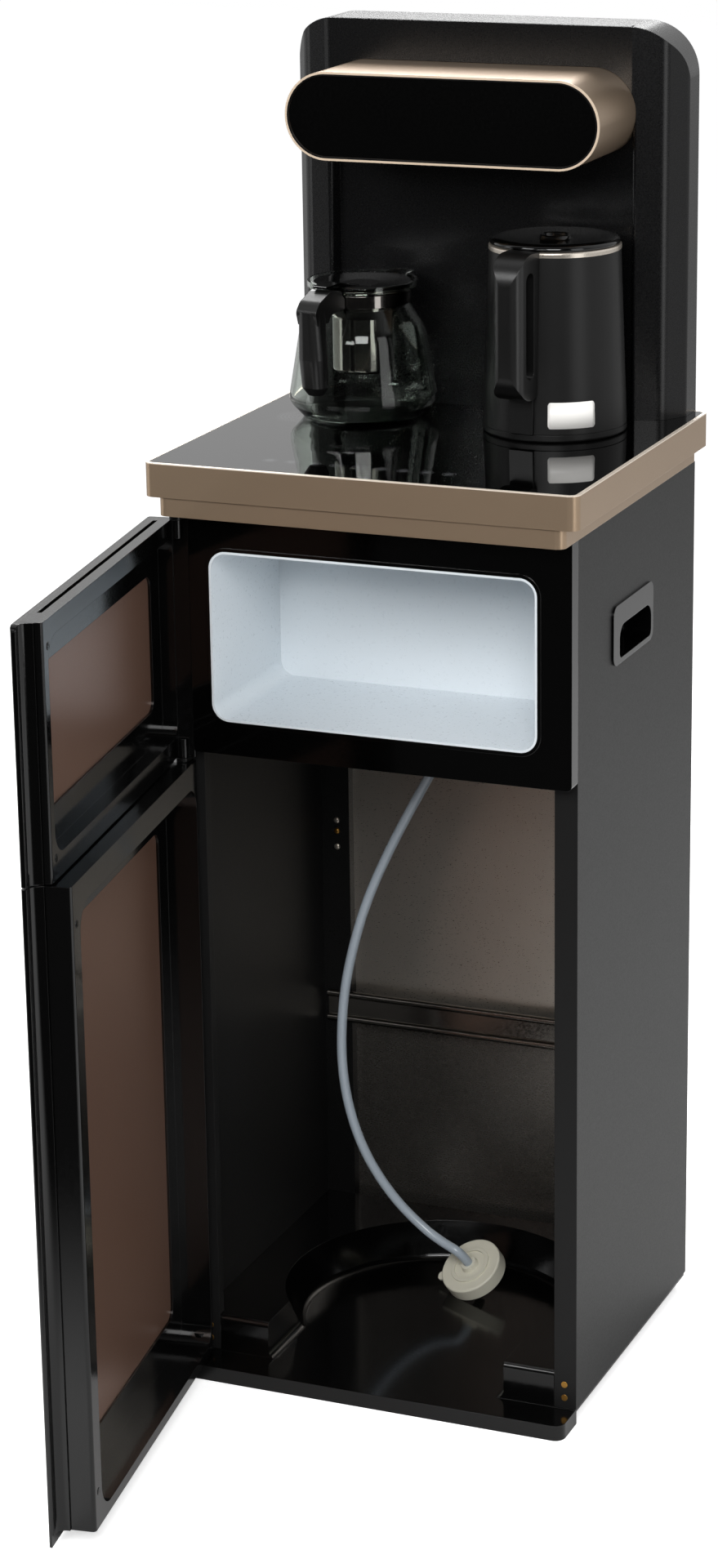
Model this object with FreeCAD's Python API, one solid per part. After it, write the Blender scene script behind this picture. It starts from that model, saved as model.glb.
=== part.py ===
import FreeCAD, Part
import math
import os

os.makedirs("parts", exist_ok=True)
V = FreeCAD.Vector

# ---------------------------------------------------------------- sizes, mm
# The origin is the middle of the cabinet plan on the floor; the front faces -Y.
CAB_W = 320.0            # outside of the side panels
CAB_D = 272.0            # side panels, front flange to rear edge
CAB_Z0 = 13.5            # side panels start on the tray rim
CAB_Z1 = 705.0           # side panels end under the counter
SHEET = 1.4              # side panels, deck and posts
REAR_SHEET = 1.2
FLANGE_W = 18.0          # front return of a side panel
FIT = 0.3                # gap between pieces that slip past each other

HALF = CAB_W / 2
FRONT = -CAB_D / 2
REAR = CAB_D / 2

TRAY_IN = 0.8            # tray sides stand inside the panels
TRAY_NOSE = 30.7         # tray reaches in front of the flanges
TRAY_LIP = 12.5          # top of the front lip, the well floor and the channel
TRAY_DECK = 43.3
TRAY_WALL = 3.0
PLINTH_IN = 9.0          # the plinth is set in under the side panels
TRAY_CORNER = 8.5
WELL_Y = -18.0
WELL_R0 = 113.0
WELL_R1 = 125.0
WELL_FILLET = 7.0
CHANNEL_HALF = 100.0
SCREW_R = 1.7
SCREW_IN = 3.0
SCREW_HEAD = 0.4
FOOT_R = 12.0
FOOT_H = 5.0
FOOT_X = HALF - 25.0
FOOT_Y = REAR - 30.0

POST_W = 26.0
POST_DEPTH = 9.5
RAIL_Z0 = 201.5
RAIL_Z1 = 229.0
RAIL_DEPTH = 8.0
BEAD_R = 3.0
DRAIN_R = 8.9
GLAND_R = 7.9
CORD_R = 3.6

SERVICE_Z = 518.0        # top of the service deck
HOSE_R = 4.0

TANK_R = 38.0            # cooling train: tank, foam, module, heat sink and fan
FOAM = 9.0
TANK_X = -HALF + 74.0
TANK_Y = REAR - 116.0
TANK_Z0 = SERVICE_Z + 12.0
TANK_Z1 = CAB_Z1 - 25.0
NECK_W = 40.0
CHIP_T = 4.0
SINK_BASE = 6.0
SINK_FIN = 27.0
FAN_T = 25.0
FAN_W = 80.0
SINK_Z = SERVICE_Z + 87.0

BEZEL_DEPTH = 13.35      # bezel in front of the flanges
BEZEL_Z0 = SERVICE_Z + 0.6
BEZEL_X0 = -HALF + 15.8  # the hinge pins run beside this edge
BOX_X0 = -HALF + 34.0    # opening of the cool box
BOX_X1 = HALF - 28.5
BOX_Z0 = SERVICE_Z + 28.5
BOX_Z1 = CAB_Z1 - 30.0
BOX_CORNER = 12.0
BOX_BACK = TANK_Y - TANK_R - FOAM - 4.0
BOX_DRAFT = 3.0
BOX_WALL = 1.8
BOX_RIM = 2.0
MOUTH_BEAD = 0.6         # raised edge of the bezel round the liner
BEAD_W = 2.6

HOLD_Y0 = -49.3          # hand-hold mouth in the side panels
HOLD_Y1 = 28.0
HOLD_Z0 = CAB_Z1 - 113.6
HOLD_Z1 = CAB_Z1 - 84.5
HOLD_DEPTH = 22.0
HOLD_WALL = 1.5
HOLD_FLANGE = 12.0

SKIRT_Z1 = CAB_Z1 + 14.3
SKIRT_OVER = 31.7        # skirt and band in front of the flanges
SKIRT_WALL = 3.0
BAND_Z1 = SKIRT_Z1 + 25.9
BAND_SIDE = 10.7
BAND_OVER = 33.2
BAND_BACK = 0.6
BAND_WALL = 3.0
BAND_CORNER = 8.0
GLASS_T = 4.0

TOWER_H = 299.3
TOWER_CORNER = 40.0
TOWER_WALL = 3.0
TOWER_PANEL_Y = REAR - 38.0   # centre panel between the pillars
PILLAR_Y = REAR - 50.0
PILLAR_IN = HALF - 36.5
HEAD_HALF = HALF - 34.0
HEAD_R = 33.3
HEAD_DOWN = 64.2         # axis of the head below the tower top
HEAD_FRONT = REAR - 132.0
HEAD_WALL = 3.0
SPOUT_R = 8.0
SPOUT_DROP = 38.0

KETTLE_X = HALF - 81.9
KETTLE_Y = REAR - 94.8
TEAPOT_X = -HALF + 81.0
TEAPOT_Y = REAR - 97.0

HINGE_X = -HALF + 5.1    # pin line of both doors
HINGE_Y = FRONT - 10.7
PIN_R = 2.5
PIN_BORE = 2.6
KNUCKLE_R = 4.8
BRACKET_T = 2.6
NOTCH_R = 13.0
DOOR_OPEN = 81.49        # the doors stand open by this angle
DOOR_OUTER_Y = FRONT - 33.8
DOOR_SKIN = 2.6
LOWER_Z0 = 3.25
LOWER_Z1 = SERVICE_Z - 8.8
UPPER_Z0 = SERVICE_Z - 6.2
UPPER_Z1 = CAB_Z1 - 6.9

TRAY_HALF = HALF - TRAY_IN
TRAY_FRONT = FRONT - TRAY_NOSE
BEZEL_FRONT = FRONT - BEZEL_DEPTH
SKIRT_FRONT = FRONT - SKIRT_OVER
BAND_HALF = HALF + BAND_SIDE
BAND_FRONT = FRONT - BAND_OVER
BAND_REAR = REAR + BAND_BACK
BAND_Z0 = SKIRT_Z1
GLASS_Z0 = BAND_Z1 - GLASS_T
TOWER_Z1 = BAND_Z1 + TOWER_H
HEAD_Z = TOWER_Z1 - HEAD_DOWN
SPOUT_Z0 = HEAD_Z - SPOUT_DROP
LOWER_INNER_Y = FRONT - 1.0
UPPER_INNER_Y = BEZEL_FRONT - 1.0
REAR_FACE = REAR - REAR_SHEET
POST_FRONT = REAR_FACE - POST_DEPTH

# ------------------------------------------------------------ drawing helpers
PLACE = {
    "xy": lambda u, v, w: V(u, v, w),
    "xz": lambda u, v, w: V(u, w, v),
    "yz": lambda u, v, w: V(w, u, v),
}
NORMAL = {"xy": V(0, 0, 1), "xz": V(0, 1, 0), "yz": V(1, 0, 0)}


def outline(corners, plane, level):
    """Closed wire through corners (u, v) or (u, v, corner radius)."""
    place = PLACE[plane]
    spans = []
    for i, corner in enumerate(corners):
        here = V(corner[0], corner[1], 0)
        radius = corner[2] if len(corner) > 2 else 0
        if radius == 0:
            spans.append((here, None, here))
            continue
        last = corners[i - 1]
        following = corners[(i + 1) % len(corners)]
        back = (V(last[0], last[1], 0) - here).normalize()
        ahead = (V(following[0], following[1], 0) - here).normalize()
        half = back.getAngle(ahead) / 2
        reach = radius / math.tan(half)
        split = (back + ahead).normalize()
        middle = here + split * (radius / math.sin(half) - radius)
        spans.append((here + back * reach, middle, here + ahead * reach))
    edges = []
    for i, (start, middle, end) in enumerate(spans):
        if middle is not None:
            trio = [place(p.x, p.y, level) for p in (start, middle, end)]
            edges.append(Part.Arc(*trio).toShape())
        goal = spans[(i + 1) % len(spans)][0]
        if end.distanceToPoint(goal) > 1e-4:
            edges.append(Part.makeLine(place(end.x, end.y, level), place(goal.x, goal.y, level)))
    return Part.Wire(edges)


def prism(corners, plane, start, stop):
    """Solid of an outline drawn in a plane and drawn out from start to stop."""
    face = Part.Face(outline(corners, plane, start))
    return face.extrude(NORMAL[plane] * (stop - start))


def rect(u0, u1, v0, v1, r=0):
    """Corners of a rectangle; r is one radius or four, from (u0, v0) round."""
    radii = r if isinstance(r, (list, tuple)) else [r] * 4
    return [(u0, v0, radii[0]), (u1, v0, radii[1]), (u1, v1, radii[2]), (u0, v1, radii[3])]


def box(x0, x1, y0, y1, z0, z1):
    return Part.makeBox(x1 - x0, y1 - y0, z1 - z0, V(x0, y0, z0))


def rod(radius, x, y, z, length, axis="z"):
    aim = {"x": V(1, 0, 0), "y": V(0, 1, 0), "z": V(0, 0, 1)}[axis]
    return Part.makeCylinder(radius, length, V(x, y, z), aim)


def turned(corners, x, y):
    """Solid of revolution about the vertical line at x, y; corners are (r, z)."""
    solid = Part.Face(outline(corners, "xz", 0)).revolve(V(0, 0, 0), V(0, 0, 1), 360)
    solid.translate(V(x, y, 0))
    return solid


def lofted(sections):
    return Part.makeLoft(sections, True, True)


def joined(first, *rest):
    return first.fuse(list(rest)).removeSplitter() if rest else first


def tube_path(points, arcs):
    """Straight runs joined by tangent arcs; prints the arc radii."""
    spots = [V(*p) for p in points]
    edges = []
    start = spots[0]
    radii = []
    for i in range(1, len(spots) - 1):
        back = spots[i - 1] - spots[i]
        ahead = spots[i + 1] - spots[i]
        reach = arcs * min(back.Length, ahead.Length)
        back.normalize()
        ahead.normalize()
        half = back.getAngle(ahead) / 2
        radius = reach * math.tan(half)
        split = (back + ahead).normalize()
        middle = spots[i] + split * (radius / math.sin(half) - radius)
        first = spots[i] + back * reach
        last = spots[i] + ahead * reach
        edges.append(Part.LineSegment(start, first).toShape())
        edges.append(Part.Arc(first, middle, last).toShape())
        radii.append(round(radius, 1))
        start = last
    edges.append(Part.LineSegment(start, spots[-1]).toShape())
    print("arc radii", radii)
    return Part.Wire(edges)


def tube(points, outer, bore=0, arcs=0.45):
    """Round tube along a route of points."""
    path = tube_path(points, arcs)
    start = V(*points[0])
    aim = V(*points[1]) - start
    ring = Part.Wire([Part.makeCircle(outer, start, aim)])
    solid = path.makePipeShell([ring], True, False)
    if bore:
        hole = Part.Wire([Part.makeCircle(bore, start, aim)])
        solid = solid.cut(path.makePipeShell([hole], True, False))
    section = math.pi * (outer ** 2 - bore ** 2)
    print("length", round(path.Length, 1), "volume ratio", round(solid.Volume / section / path.Length, 4))
    return solid


def save(name, *solids):
    shape = solids[0] if len(solids) == 1 else Part.makeCompound(list(solids))
    if not shape.isValid():
        print("not valid:", name)
    shape.exportStep("parts/" + name + ".step")


# ------------------------------------------------------------------- base tray
# One moulding: a skirted plinth, a raised deck with a conical bottle well and an
# open front channel, hollow and ribbed underneath, closed all round at the floor.
deck_half = HALF - SHEET - FIT
deck_rear = POST_FRONT - FIT
block_half = HALF - FLANGE_W - FIT
rear_half = HALF - PLINTH_IN
inside = TRAY_WALL
plinth = prism(
    rect(-TRAY_HALF, TRAY_HALF, TRAY_FRONT, FRONT + inside, [TRAY_CORNER, TRAY_CORNER, 0, 0]),
    "xy", 0, TRAY_LIP,
)
base = box(-rear_half, rear_half, FRONT, REAR, 0, TRAY_LIP)
seat = prism(rect(-TRAY_HALF, TRAY_HALF, FRONT, REAR, 2), "xy", CAB_Z0 - inside, CAB_Z0)
deck = box(-deck_half, deck_half, FRONT + SHEET + FIT, deck_rear, TRAY_LIP, TRAY_DECK)
nose = prism(
    [(FRONT, TRAY_LIP), (0, TRAY_LIP), (0, TRAY_DECK), (FRONT, TRAY_DECK, 5)],
    "yz", -block_half, block_half,
)


def well_cut(grow, floor, top):
    """The well and its channel, grown by a wall, from floor to top."""
    low = WELL_R0 + grow
    high = WELL_R1 + grow
    fillet = WELL_FILLET + grow
    wall = [(0, floor), (low, floor, fillet), (high, TRAY_DECK), (high, top), (0, top)]
    bowl = turned(wall, 0, WELL_Y)
    half = CHANNEL_HALF + grow
    run = prism(rect(-half, half, floor, top, [fillet, fillet, 0, 0]), "xz", TRAY_FRONT - 5, WELL_Y)
    return bowl.fuse(run)


tray = joined(plinth, base, seat, deck, nose).cut(well_cut(0, TRAY_LIP, TRAY_DECK + 5))
low_top = TRAY_LIP - inside
front_hollow = box(-TRAY_HALF + inside, TRAY_HALF - inside, TRAY_FRONT + inside, FRONT, 0, low_top)
rear_hollow = box(-rear_half + inside, rear_half - inside, FRONT - 1, REAR - inside, 0, CAB_Z0 + 1)
high_hollow = box(
    -deck_half + inside, deck_half - inside, FRONT + SHEET + FIT + inside, deck_rear - inside,
    CAB_Z0, TRAY_DECK - inside,
)
rear_hollow = rear_hollow.cut(well_cut(inside, low_top, TRAY_DECK))
rear_hollow = rear_hollow.cut(box(-HALF, HALF, FRONT - 2, FRONT + SHEET + FIT + inside, low_top, CAB_Z0 + 2))
rear_hollow = rear_hollow.cut(box(-HALF, HALF, deck_rear - inside, REAR, low_top, CAB_Z0 + 2))
high_hollow = high_hollow.cut(well_cut(inside, low_top, TRAY_DECK))
tray = tray.cut([front_hollow, rear_hollow, high_hollow])
rib_top = TRAY_LIP - inside / 2
ribs = []
for x in (-75, 0, 75):
    ribs.append(box(x - 1.2, x + 1.2, TRAY_FRONT + 1, REAR - 1, 2, rib_top))
for y in (-95, WELL_Y, 60):
    ribs.append(box(-rear_half + 1, rear_half - 1, y - 1.2, y + 1.2, 2, rib_top))
boss_r = FOOT_R + inside
bosses = []
wells = []
feet = []
for x in (-FOOT_X, FOOT_X):
    for y in (-FOOT_Y, FOOT_Y):
        bosses.append(rod(boss_r, x, y, 0, TRAY_DECK - inside / 2))
        wells.append(rod(FOOT_R + 0.05, x, y, -1, FOOT_H + 1))
        sole = [(0, 0), (FOOT_R, 0, 1), (FOOT_R, FOOT_H), (0, FOOT_H)]
        feet.append(turned(sole, x, y))
screw_x = HALF - 9.7
screw_heights = (22.2, 33.3)
screw_bores = Part.makeCompound([
    rod(SCREW_R, side * screw_x, FRONT - 1, z, SCREW_IN + SHEET + 2, "y")
    for side in (-1, 1) for z in screw_heights
])
tray = joined(tray, *ribs, *bosses).cut(Part.makeCompound(wells)).cut(screw_bores)
save("base_tray", tray)
save("base_feet", *feet)

# ----------------------------------------------------------------- side panels
hold_mouth = rect(HOLD_Y0, HOLD_Y1, HOLD_Z0, HOLD_Z1, [6, 6, 12, 12])


def side_panel(side):
    """Folded sheet: outer face, a front return and a narrow rear return."""
    outer = side * HALF
    inner = side * (HALF - SHEET)
    skin = box(min(outer, inner), max(outer, inner), FRONT, REAR, CAB_Z0, CAB_Z1)
    edge = side * (HALF - FLANGE_W)
    front = box(min(outer, edge), max(outer, edge), FRONT, FRONT + SHEET, CAB_Z0, CAB_Z1)
    lip_x = side * (HALF - FLANGE_W + SHEET)
    lip = box(min(edge, lip_x), max(edge, lip_x), FRONT, FRONT + 8, TRAY_DECK + FIT, SERVICE_Z - SHEET - FIT)
    panel = joined(skin, front, lip)
    cup = prism(hold_mouth, "yz", min(outer, inner) - 1, max(outer, inner) + 1)
    return panel.cut(cup).cut(screw_bores)


def side_handle(side):
    """Moulded hand-hold: a flange outside and a closed cup inside the panel."""
    flange = rect(HOLD_Y0 - HOLD_FLANGE, HOLD_Y1 + 3, HOLD_Z0 - 2, HOLD_Z1 + 15, 8)
    mouth = rect(HOLD_Y0 + FIT, HOLD_Y1 - FIT, HOLD_Z0 + FIT, HOLD_Z1 - FIT, [6, 6, 12, 12])
    wall = HOLD_WALL
    well = rect(
        HOLD_Y0 + FIT + wall, HOLD_Y1 - FIT - wall, HOLD_Z0 + FIT + wall, HOLD_Z1 - FIT - wall,
        [5, 5, 11, 11],
    )
    face = side * HALF
    back = side * (HALF - HOLD_DEPTH)
    rim = side * (HALF + 1.6)
    plate = prism(flange, "yz", face, rim)
    cup = prism(mouth, "yz", back, face)
    hollow = prism(well, "yz", back + side * wall, rim + side)
    return joined(plate, cup).cut(hollow)


for name, side in (("left", -1), ("right", 1)):
    save("side_panel_" + name, side_panel(side))
    save("side_handle_" + name, side_handle(side))

# ------------------------------------------------------------------- rear frame
service_under = SERVICE_Z - SHEET


def rear_post(side):
    """Angle post: a front face with a return to the rear sheets."""
    inner = side * (HALF - POST_W)
    outer = side * (HALF - SHEET)
    turn = side * (HALF - POST_W + SHEET)
    face = box(
        min(inner, outer), max(inner, outer), POST_FRONT, POST_FRONT + SHEET, CAB_Z0, service_under
    )
    leg = box(min(inner, turn), max(inner, turn), POST_FRONT, REAR_FACE, CAB_Z0, service_under)
    post = joined(face, leg)
    for z in (356.0, 369.7, 379.0):
        post = post.cut(rod(2.2, side * (HALF - 15), POST_FRONT - 1, z, SHEET + 2, "y"))
    return post


save("rear_post_left", rear_post(-1))
save("rear_post_right", rear_post(1))

rail_half = HALF - SHEET - FIT - 4
bead = 2 * BEAD_R
web_z0 = RAIL_Z0 + bead / 2
web_z1 = RAIL_Z1 - bead / 2
web = box(-rail_half, rail_half, POST_FRONT - 2.2, POST_FRONT, web_z0, web_z1)
beads = [rod(BEAD_R, -rail_half, POST_FRONT - BEAD_R, z, 2 * rail_half, "x") for z in (
    RAIL_Z0 + BEAD_R, RAIL_Z1 - BEAD_R
)]
save("cross_rail", joined(web, *beads))

sheet_half = HALF - SHEET - FIT
rail_mid = (RAIL_Z0 + RAIL_Z1) / 2
lower_sheet = box(-sheet_half, sheet_half, REAR_FACE, REAR, CAB_Z0, rail_mid)
upper_sheet = box(-sheet_half, sheet_half, REAR_FACE, REAR, rail_mid, SERVICE_Z)
save("rear_panel_lower", lower_sheet)
save("rear_panel_upper", upper_sheet)

cover = box(-sheet_half, sheet_half, REAR_FACE, REAR, SERVICE_Z, CAB_Z1)
slots = []
for i in range(9):
    z = SINK_Z + (i - 4) * 11
    for middle in (TANK_X, -TANK_X):
        slots.append(prism(rect(middle - 40, middle + 40, z - 2.5, z + 2.5, 2.4), "xz", REAR_FACE - 1, REAR + 1))
port_z = SERVICE_Z + 20.0
drain_x = -30.0
gland_x = HALF - 50.0
slots.append(rod(DRAIN_R + 0.1, drain_x, REAR_FACE - 1, port_z, REAR_SHEET + 2, "y"))
slots.append(rod(GLAND_R + 0.1, gland_x, REAR_FACE - 1, port_z, REAR_SHEET + 2, "y"))
save("service_cover", cover.cut(Part.makeCompound(slots)))

drain = joined(
    rod(DRAIN_R + 3, drain_x, REAR, port_z, 4, "y"), rod(DRAIN_R, drain_x, REAR_FACE - 3, port_z, 3 + REAR_SHEET, "y")
)
save("drain_plugs", drain)
gland = joined(
    rod(GLAND_R + 3, gland_x, REAR, port_z, 7, "y"), rod(GLAND_R, gland_x, REAR_FACE - 4, port_z, 4 + REAR_SHEET, "y")
)
save("cord_gland", gland.cut(rod(CORD_R, gland_x, REAR_FACE - 5, port_z, 20, "y")))

screws = []
for side in (-1, 1):
    for z in screw_heights:
        head = rod(2.6, side * screw_x, FRONT - SCREW_HEAD, z, SCREW_HEAD, "y")
        shank = rod(SCREW_R - 0.05, side * screw_x, FRONT, z, SHEET + SCREW_IN, "y")
        screws.append(joined(head, shank))
save("flange_screws", *screws)

rear_screws = []
for side in (-1, 1):
    for z in (60.0, 180.0, 260.0, SERVICE_Z - 38, SERVICE_Z + 27, CAB_Z1 - 15):
        rear_screws.append(rod(3.2, side * (HALF - 12), REAR, z, 1.6, "y"))
save("rear_screws", *rear_screws)

# ------------------------------------------------------------- service floor
hose_x, hose_y = -6.0, 24.0
tray_plate = box(-HALF + SHEET + FIT, HALF - SHEET - FIT, FRONT + SHEET, POST_FRONT - FIT, service_under, SERVICE_Z)
tray_plate = tray_plate.cut(rod(7, hose_x, hose_y, service_under - 1, SHEET + 2))
save("service_deck", tray_plate)

# ------------------------------------------------------------------- cool box
# The bezel is an open-backed frame whose mouth carries the white liner.
rim_corner = BOX_CORNER + BOX_RIM
bezel = prism(rect(BEZEL_X0, HALF, BEZEL_Z0, CAB_Z1, [2, 4, 0, 0]), "xz", BEZEL_FRONT, FRONT)
mouth = rect(
    BOX_X0 - BOX_RIM, BOX_X1 + BOX_RIM, BOX_Z0 - BOX_RIM, BOX_Z1 + BOX_RIM, rim_corner
)
bezel_shell = prism(
    rect(BEZEL_X0 + 2.5, HALF - 2.5, BEZEL_Z0 + 2.5, CAB_Z1 - 2.5), "xz", BEZEL_FRONT + 2.5, FRONT
)
collar = prism(
    rect(
        BOX_X0 - BOX_RIM - 2.5, BOX_X1 + BOX_RIM + 2.5, BOX_Z0 - BOX_RIM - 2.5, BOX_Z1 + BOX_RIM + 2.5,
        rim_corner + 2.5,
    ),
    "xz", BEZEL_FRONT, FRONT,
)
raised = rect(
    BOX_X0 - BOX_RIM - BEAD_W, BOX_X1 + BOX_RIM + BEAD_W, BOX_Z0 - BOX_RIM - BEAD_W, BOX_Z1 + BOX_RIM + BEAD_W,
    rim_corner + BEAD_W,
)
bezel = joined(bezel, prism(raised, "xz", BEZEL_FRONT - MOUTH_BEAD, BEZEL_FRONT + 1))
bezel = bezel.cut(bezel_shell.cut(collar)).cut(prism(mouth, "xz", BEZEL_FRONT - 2, FRONT + 1))
save("cabinet_bezel", bezel)


def liner_ring(grow, y, draft):
    """Section of the liner at a depth, grown by a wall."""
    size = grow - draft
    return outline(
        rect(BOX_X0 - size, BOX_X1 + size, BOX_Z0 - size, BOX_Z1 + size, BOX_CORNER + grow), "xz", y
    )


def liner_block(grow, front, back):
    return lofted([liner_ring(grow, front, 0), liner_ring(grow, back, BOX_DRAFT)])


rim_front = BEZEL_FRONT - 0.5
liner = liner_block(BOX_WALL, rim_front, BOX_BACK + BOX_WALL)
liner = liner.cut(liner_block(0, rim_front - 0.01, BOX_BACK))
save("storage_liner", liner)

# ---------------------------------------------------- cooling train, rear left
PLATE_Y = TANK_Y + TANK_R + FOAM + 2
neck_half = NECK_W / 2
tank = turned([(0, TANK_Z0), (TANK_R, TANK_Z0, 6), (TANK_R, TANK_Z1, 6), (0, TANK_Z1)], TANK_X, TANK_Y)
neck = box(TANK_X - neck_half, TANK_X + neck_half, TANK_Y, PLATE_Y, SINK_Z - neck_half, SINK_Z + neck_half)
tank = joined(tank, neck)
foam_out = TANK_R + FOAM
foam = prism(
    rect(TANK_X - foam_out, TANK_X + foam_out, TANK_Y - foam_out, TANK_Y + foam_out, 14),
    "xy", SERVICE_Z, TANK_Z1 + 8,
)
bored = turned([
    (0, TANK_Z0 - FIT), (TANK_R + FIT, TANK_Z0 - FIT, 6), (TANK_R + FIT, TANK_Z1 + FIT, 6), (0, TANK_Z1 + FIT)
], TANK_X, TANK_Y)
slot_half = neck_half + FIT
slot = box(TANK_X - slot_half, TANK_X + slot_half, TANK_Y, PLATE_Y + 5, SINK_Z - slot_half, SINK_Z + slot_half)
save("cold_tank", tank)
save("tank_insulation", foam.cut(bored).cut(slot))
chip = box(
    TANK_X - neck_half, TANK_X + neck_half, PLATE_Y, PLATE_Y + CHIP_T, SINK_Z - neck_half, SINK_Z + neck_half
)
save("thermoelectric_module", chip)
sink_y = PLATE_Y + CHIP_T
sink_half = FAN_W / 2
sink = box(TANK_X - sink_half, TANK_X + sink_half, sink_y, sink_y + SINK_BASE, SINK_Z - 45, SINK_Z + 45)
fins = []
for i in range(14):
    x = TANK_X - sink_half + i * (FAN_W - 1.2) / 13
    fins.append(box(x, x + 1.2, sink_y + SINK_BASE, sink_y + SINK_BASE + SINK_FIN, SINK_Z - 45, SINK_Z + 45))
save("heatsink", joined(sink, *fins))

fan_y = REAR_FACE - FAN_T
fan = prism(rect(TANK_X - sink_half, TANK_X + sink_half, SINK_Z - sink_half, SINK_Z + sink_half, 4), "xz", fan_y, REAR_FACE)
fan = fan.cut(rod(37.5, TANK_X, fan_y - 1, SINK_Z, FAN_T + 2, "y"))
spider = [rod(15, TANK_X, REAR_FACE - 3, SINK_Z, 3, "y")]
for turn in (45, 135, 225, 315):
    arm = box(12, 38, REAR_FACE - 3, REAR_FACE, -2.5, 2.5)
    arm.rotate(V(0, 0, 0), V(0, 1, 0), turn)
    arm.translate(V(TANK_X, 0, SINK_Z))
    spider.append(arm)
pin_len = 10.0
spider.append(rod(2, TANK_X, REAR_FACE - 3 - pin_len, SINK_Z, pin_len, "y"))
save("fan_frame", joined(fan, *spider))
hub_y = REAR_FACE - 3 - 1 - 16
rotor = rod(14, TANK_X, hub_y, SINK_Z, 16, "y")
rotor = rotor.cut(rod(2.06, TANK_X, hub_y + 6.7, SINK_Z, 12, "y"))
blades = []
for i in range(7):
    blade = box(13, 36, -0.9, 0.9, -7.5, 7.5)
    blade.rotate(V(0, 0, 0), V(1, 0, 0), 38)
    blade.rotate(V(0, 0, 0), V(0, 1, 0), i * 360 / 7)
    blade.translate(V(TANK_X, hub_y + 8, SINK_Z))
    blades.append(blade)
save("fan_rotor", joined(rotor, *blades))

# ------------------------------------------------------- pump and electronics
pump_z0 = SERVICE_Z
pump = turned([(0, pump_z0), (16, pump_z0, 2), (16, pump_z0 + 42, 3), (0, pump_z0 + 42)], hose_x, hose_y)
collar_z0 = service_under - 0.6
collar_ring = rod(6.8, hose_x, hose_y, collar_z0, 3)
outlets = [rod(3.4, hose_x + side * 10, hose_y, pump_z0 + 40, 12) for side in (-1, 1)]
save("bottle_pump", joined(pump, collar_ring, *outlets))

supply = box(HALF - 120, HALF - 10, REAR - 116, REAR - 62, SERVICE_Z, SERVICE_Z + 38)
save("power_supply", supply)
board_x = HALF - 10
board_y = REAR - 40
board = box(board_x - 90, board_x, board_y, board_y + 1.6, SERVICE_Z, SERVICE_Z + 122)
caps = []
for x, z, r, h in ((-70, 42, 8, 18), (-50, 42, 8, 18), (-25, 72, 6, 12), (-65, 92, 5, 10)):
    caps.append(rod(r, board_x + x, board_y - h, SERVICE_Z + z, h, "y"))
relay = box(board_x - 42, board_x - 8, board_y - 16, board_y, SERVICE_Z + 27, SERVICE_Z + 52)
save("control_board", joined(board, relay, *caps))

# -------------------------------------------------------------------- counter
WAY_HALF = 60.0          # service way for the water lines
WAY_Y0 = REAR - 76.0
WAY_Y1 = REAR - 11.0
skirt = prism(rect(-HALF, HALF, SKIRT_FRONT, REAR, [7, 7, 2, 2]), "xy", CAB_Z1, SKIRT_Z1)
skirt_hollow = prism(
    rect(-HALF + SKIRT_WALL, HALF - SKIRT_WALL, SKIRT_FRONT + SKIRT_WALL, REAR - SKIRT_WALL, 4),
    "xy", CAB_Z1 + SKIRT_WALL, SKIRT_Z1 + 1,
)
way = box(-WAY_HALF, WAY_HALF, WAY_Y0, WAY_Y1, CAB_Z1 - 1, SKIRT_Z1)
skirt = skirt.cut(skirt_hollow).cut(way)
save("counter_skirt", skirt)

band = prism(rect(-BAND_HALF, BAND_HALF, BAND_FRONT, BAND_REAR, BAND_CORNER), "xy", BAND_Z0, BAND_Z1)
band_in = BAND_WALL
floor_t = 2.5
band_room = prism(
    rect(
        -BAND_HALF + band_in, BAND_HALF - band_in, BAND_FRONT + band_in, BAND_REAR - band_in,
        BAND_CORNER - band_in,
    ),
    "xy", GLASS_Z0, BAND_Z1 + 1,
)
ledge = 8.0
ledge_x = BAND_HALF - band_in - ledge
ledge_y0 = BAND_FRONT + band_in + ledge
ledge_y1 = BAND_REAR - band_in - ledge
band_low = prism(rect(-ledge_x, ledge_x, ledge_y0, ledge_y1, 3), "xy", BAND_Z0 + floor_t, BAND_Z1)
band_way = box(-ledge_x + 12, ledge_x - 12, ledge_y0 + 12, ledge_y1 - 2, BAND_Z0 - 1, BAND_Z1)
undercut = prism(
    rect(
        -BAND_HALF + band_in, BAND_HALF - band_in, BAND_FRONT + band_in, BAND_REAR - band_in,
        BAND_CORNER - band_in,
    ),
    "xy", BAND_Z0 + floor_t, GLASS_Z0 - 3,
)
band = band.cut(band_room).cut(band_low).cut(band_way).cut(undercut)
save("counter_band", band)

SOCKET_R = 24.0
PLATE_R = 50.0
glass_gap = 0.2
glass = prism(
    rect(
        -BAND_HALF + band_in + glass_gap, BAND_HALF - band_in - glass_gap,
        BAND_FRONT + band_in + glass_gap, BAND_REAR - band_in - glass_gap, BAND_CORNER - band_in,
    ),
    "xy", GLASS_Z0, BAND_Z1,
)
glass = glass.cut(rod(SOCKET_R + glass_gap, KETTLE_X, KETTLE_Y, GLASS_Z0 - 1, GLASS_T + 2))
glass = glass.cut(box(-WAY_HALF, WAY_HALF, REAR - 32, REAR - 6, GLASS_Z0 - 1, BAND_Z1 + 1))
save("glass_top", glass)

PLATE_T = 4.0
plate = rod(PLATE_R, TEAPOT_X, TEAPOT_Y, GLASS_Z0 - PLATE_T, PLATE_T)
plate_stem = rod(6, TEAPOT_X, TEAPOT_Y, CAB_Z1 + SKIRT_WALL, GLASS_Z0 - PLATE_T - CAB_Z1 - SKIRT_WALL)
save("warming_plate", joined(plate, plate_stem))

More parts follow.
